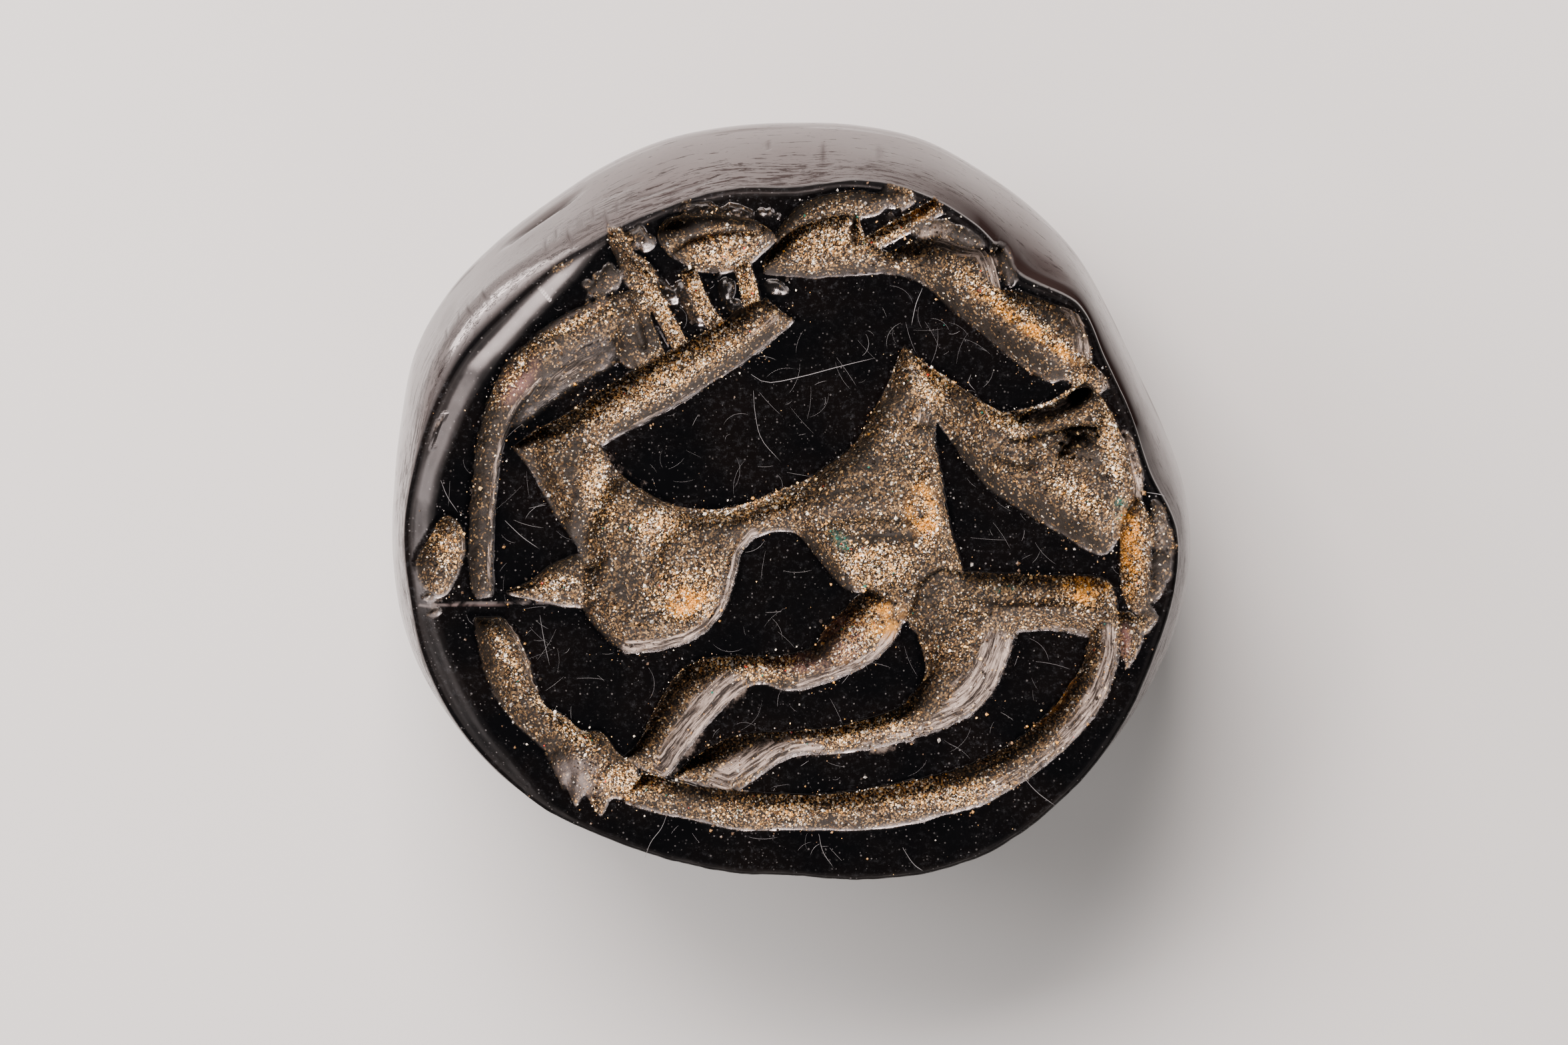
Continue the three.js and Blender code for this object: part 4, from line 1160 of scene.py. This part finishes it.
def wall_lines(tree, place):
    """Tool lines that follow the edges of the cuts."""
    apart = node(tree, "ShaderNodeSeparateXYZ", {0: place}).outputs
    vector = node(tree, "ShaderNodeCombineXYZ", {
        0: times(tree, attribute(tree, "across"), 8.0),
        1: times(tree, apart[0], 0.5),
        2: times(tree, apart[1], 0.5)})
    return noise(tree, vector.outputs[0], 2.2, 5, 0.78)


def side_wear(tree, place):
    """Dull marks on the side: fine level streaks, closest together near the face, pits and smears."""
    height = node(tree, "ShaderNodeSeparateXYZ", {0: place}).outputs[2]
    near_face = remap(tree, height, 5.0, 7.8)
    streaks = noise(tree, in_mm(tree, (1.1, 1.1, 8.0)), 1.4, 6, 0.8)
    streaks = calc(tree, "ADD", streaks, times(tree, near_face, 0.11))
    pits = specks(tree, in_mm(tree, (1.0, 1.0, 2.2)), 3.4, 0.24)
    marks = calc(tree, "MAXIMUM", times(tree, remap(tree, streaks, 0.61, 0.655), 0.95), pits)
    return calc(tree, "MAXIMUM", times(tree, marks, attribute(tree, "side")), attribute(tree, "smear"))


def stone_colour(tree, place, grain, lines):
    """Ground, side, cut stone, its bed of sand, bare walls partly in painted light, and stains, one over the
    other.
    """
    cut, pale, sand, side = (attribute(tree, name) for name in ("cut", "pale", "sand", "side"))
    rough_stone = mix(tree, grain, (0.008, 0.007, 0.006), (0.035, 0.03, 0.026))
    bed, dusted = grit_colours(tree, place, rough_stone)
    # Pale striated colour of the bare walls: partly the cut stone's own tone, partly painted light where the
    # walls face the key light.
    bare_and_painted_light = mix(tree, remap(tree, lines, 0.42, 0.62), (0.02, 0.016, 0.014), (0.43, 0.34, 0.29))
    ragged = calc(tree, "ADD", pale, times(tree, calc(tree, "SUBTRACT", lines, 0.5), 1.4))
    colour = mix(tree, side, ground_colour(tree, place), (0.018, 0.0116, 0.0108))
    colour = mix(tree, cut, colour, dusted)
    colour = mix(tree, remap(tree, sand, 0.02, 0.5), colour, bed)
    colour = mix(tree, remap(tree, ragged, 0.3, 0.9), colour, bare_and_painted_light)
    for name, strength, stain in STAIN_COLOURS:
        colour = mix(tree, times(tree, attribute(tree, name), strength), colour, stain)
    return colour


def stone_material():
    made, tree = material("engraved_black_stone")
    place = in_mm(tree)
    lines = wall_lines(tree, place)
    grain = noise(tree, place, 13.0, 4, 0.8)
    worn = side_wear(tree, place)
    value = {name: attribute(tree, name) for name in (*DULLING, "sand", "shoulder")}

    rough = calc(
        tree, "ADD", times(tree, value["cut"], 0.4), times(tree, noise(tree, place, 1.4, 3), 0.22),
        times(tree, value["sand"], 0.4), times(tree, value["shoulder"], 0.2),
        times(tree, calc(tree, "MAXIMUM", worn, value["edge"]), 0.35))
    height = calc(
        tree, "ADD", times(tree, grain, calc(tree, "ADD", times(tree, value["cut"], 0.03), 0.0006)),
        times(tree, lines, value["pale"], 0.11), times(tree, worn, -0.03))
    patchy = times(tree, value["shoulder"], remap(tree, noise(tree, place, 0.8, 3), 0.48, 0.66))
    dull = calc(
        tree, "MAXIMUM", value["sand"], worn, times(tree, patchy, PATCHY_DULLING),
        *(times(tree, value[name], share) for name, share in DULLING.items()))
    bump = node(tree, "ShaderNodeBump", {"Height": height, "Strength": 1.0, "Distance": MM})
    surface(tree, {
        "Base Color": stone_colour(tree, place, grain, lines),
        "Roughness": calc(tree, "MINIMUM", rough, 1.0),
        "IOR": STONE_IOR,
        "Specular IOR Level": calc(tree, "SUBTRACT", 0.5, times(tree, dull, 0.5)),
        "Specular Tint": SHINE_TINT,
        "Normal": bump.outputs[0]})
    return made


def sand_material():
    """Each grain's colour by its number."""
    made, tree = material("loose_sand")
    ramp = node(tree, "ShaderNodeValToRGB", {0: attribute(tree, "tone")})
    ramp.color_ramp.interpolation = "CONSTANT"
    stops = ramp.color_ramp.elements
    for number, (colour, *_) in enumerate(SAND_COLOURS):
        stop = stops[number] if number < len(stops) else stops.new(number / len(SAND_COLOURS))
        stop.position = number / len(SAND_COLOURS)
        stop.color = (*colour, 1)
    surface(tree, {"Base Color": ramp.outputs[0], "Roughness": SAND_ROUGHNESS})
    return made


def plain_material(name, colour, roughness):
    """One colour, very slightly clouded."""
    made, tree = material(name)
    cloud = noise(tree, own_place(tree), 30.0, 3)
    shade = mix(tree, cloud, tuple(part * 0.98 for part in colour), colour)
    surface(tree, {"Base Color": shade, "Roughness": roughness})
    return made


# ---------------------------------------------------------------- studio

VIEW_TILT = math.radians(18)
VIEW_DISTANCE = 200 * MM
VIEW_SHIFT = (-0.23 * MM, 0.24 * MM)    # how far the camera aims beside the face's middle, right and up
FIELD_WIDTH = 36.94 * MM
SENSOR = 36.0
CLIP_START = 0.01
SKY_COLOUR, SKY_STRENGTH = (0.9, 0.95, 1.0, 1), 0.02
FLOOR_SIZE = 4.0
FLOOR_COLOUR = (0.62, 0.615, 0.61)
# Lights: name, place, width and height, power, colour
SOFTBOXES = [
    ("key", (-0.07, 0.228, 0.21), (0.20, 0.12), 3.4, (1.0, 0.89, 0.85)),
    ("back_corner", (-0.24, 0.14, 0.20), (0.16, 0.26), 0.9, (1.0, 0.92, 0.9)),
    ("side", (-0.25, -0.13, 0.20), (0.30, 0.14), 0.4, (1.0, 0.95, 0.94)),
    ("front", (0.04, -0.25, 0.13), (0.24, 0.10), 0.4, (1.0, 0.93, 0.88)),
    ("low_left", (-0.255, 0.145, 0.07), (0.16, 0.13), 0.8, (1.0, 0.93, 0.9)),
]


def add_camera():
    """The photo's view: from above the face, tilted towards the top of the picture."""
    back = Vector((0, math.sin(VIEW_TILT), math.cos(VIEW_TILT)))
    up = Vector((0, math.cos(VIEW_TILT), -math.sin(VIEW_TILT)))
    target = Vector(np.array([0, 0, FACE_HEIGHT]) - outline_centre()) * MM
    target += Vector((VIEW_SHIFT[0], 0, 0)) + up * VIEW_SHIFT[1]
    data = bpy.data.cameras.new("camera")
    data.sensor_width = SENSOR
    data.lens = SENSOR * VIEW_DISTANCE / FIELD_WIDTH
    data.clip_start = CLIP_START
    camera = bpy.data.objects.new("camera", data)
    bpy.context.scene.collection.objects.link(camera)
    camera.location = target + back * VIEW_DISTANCE
    camera.rotation_euler = (-VIEW_TILT, 0, 0)
    bpy.context.scene.camera = camera


def add_softbox(name, place, size, power, colour):
    data = bpy.data.lights.new(name, "AREA")
    data.shape = "RECTANGLE"
    data.size, data.size_y = size
    data.energy = power
    data.color = colour
    light = bpy.data.objects.new(name, data)
    light.location = place
    aim = Vector((0, 0, FACE_HEIGHT * MM)) - Vector(place)
    light.rotation_euler = aim.to_track_quat("-Z", "Y").to_euler()
    bpy.context.scene.collection.objects.link(light)


def add_studio():
    world = bpy.data.worlds.new("studio")
    world.use_nodes = True
    sky = world.node_tree.nodes["Background"].inputs
    sky["Color"].default_value = SKY_COLOUR
    sky["Strength"].default_value = SKY_STRENGTH
    bpy.context.scene.world = world
    for softbox in SOFTBOXES:
        add_softbox(*softbox)
    bpy.ops.mesh.primitive_plane_add(size=FLOOR_SIZE, location=(0, 0, 0))
    floor = bpy.context.object
    floor.name = "floor"
    floor.data.materials.append(plain_material("pale_floor", FLOOR_COLOUR, 0.8))


# ---------------------------------------------------------------- putting it together

def add_stone():
    """The stone, and its mesh for the sand to lie on."""
    points, triangles, parts, values, loose = stone_mesh()
    stone = mesh_object("engraved_stone", points, triangles)
    on_face = values["cut"].size
    below = side_values(points[on_face:])
    for name in dict.fromkeys([*values, *below]):
        face_part = values.get(name, np.zeros(on_face)).ravel()
        set_values(stone, name, np.concatenate([face_part, below.get(name, np.zeros(len(points) - on_face))]))
    set_bake_map(stone, stone_map(points, triangles, parts))
    stone.data.materials.append(stone_material())
    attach(stone, "root")
    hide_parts("seal_stone")
    return points, triangles, values | loose


def add_sand(points, triangles, values):
    finish = sand_material()
    for name, size, spread in SAND_SIZES:
        sand = grains_object(name, *sand_grains(points, triangles, values, size, spread))
        sand.data.materials.append(finish)
        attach(sand, "root")


def add_lint():
    lint = lint_object("fine_lint")
    lint.data.materials.append(plain_material("pale_lint", LINT_COLOUR, 0.7))
    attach(lint, "root")


add_sand(*add_stone())
add_lint()
add_studio()
add_camera()
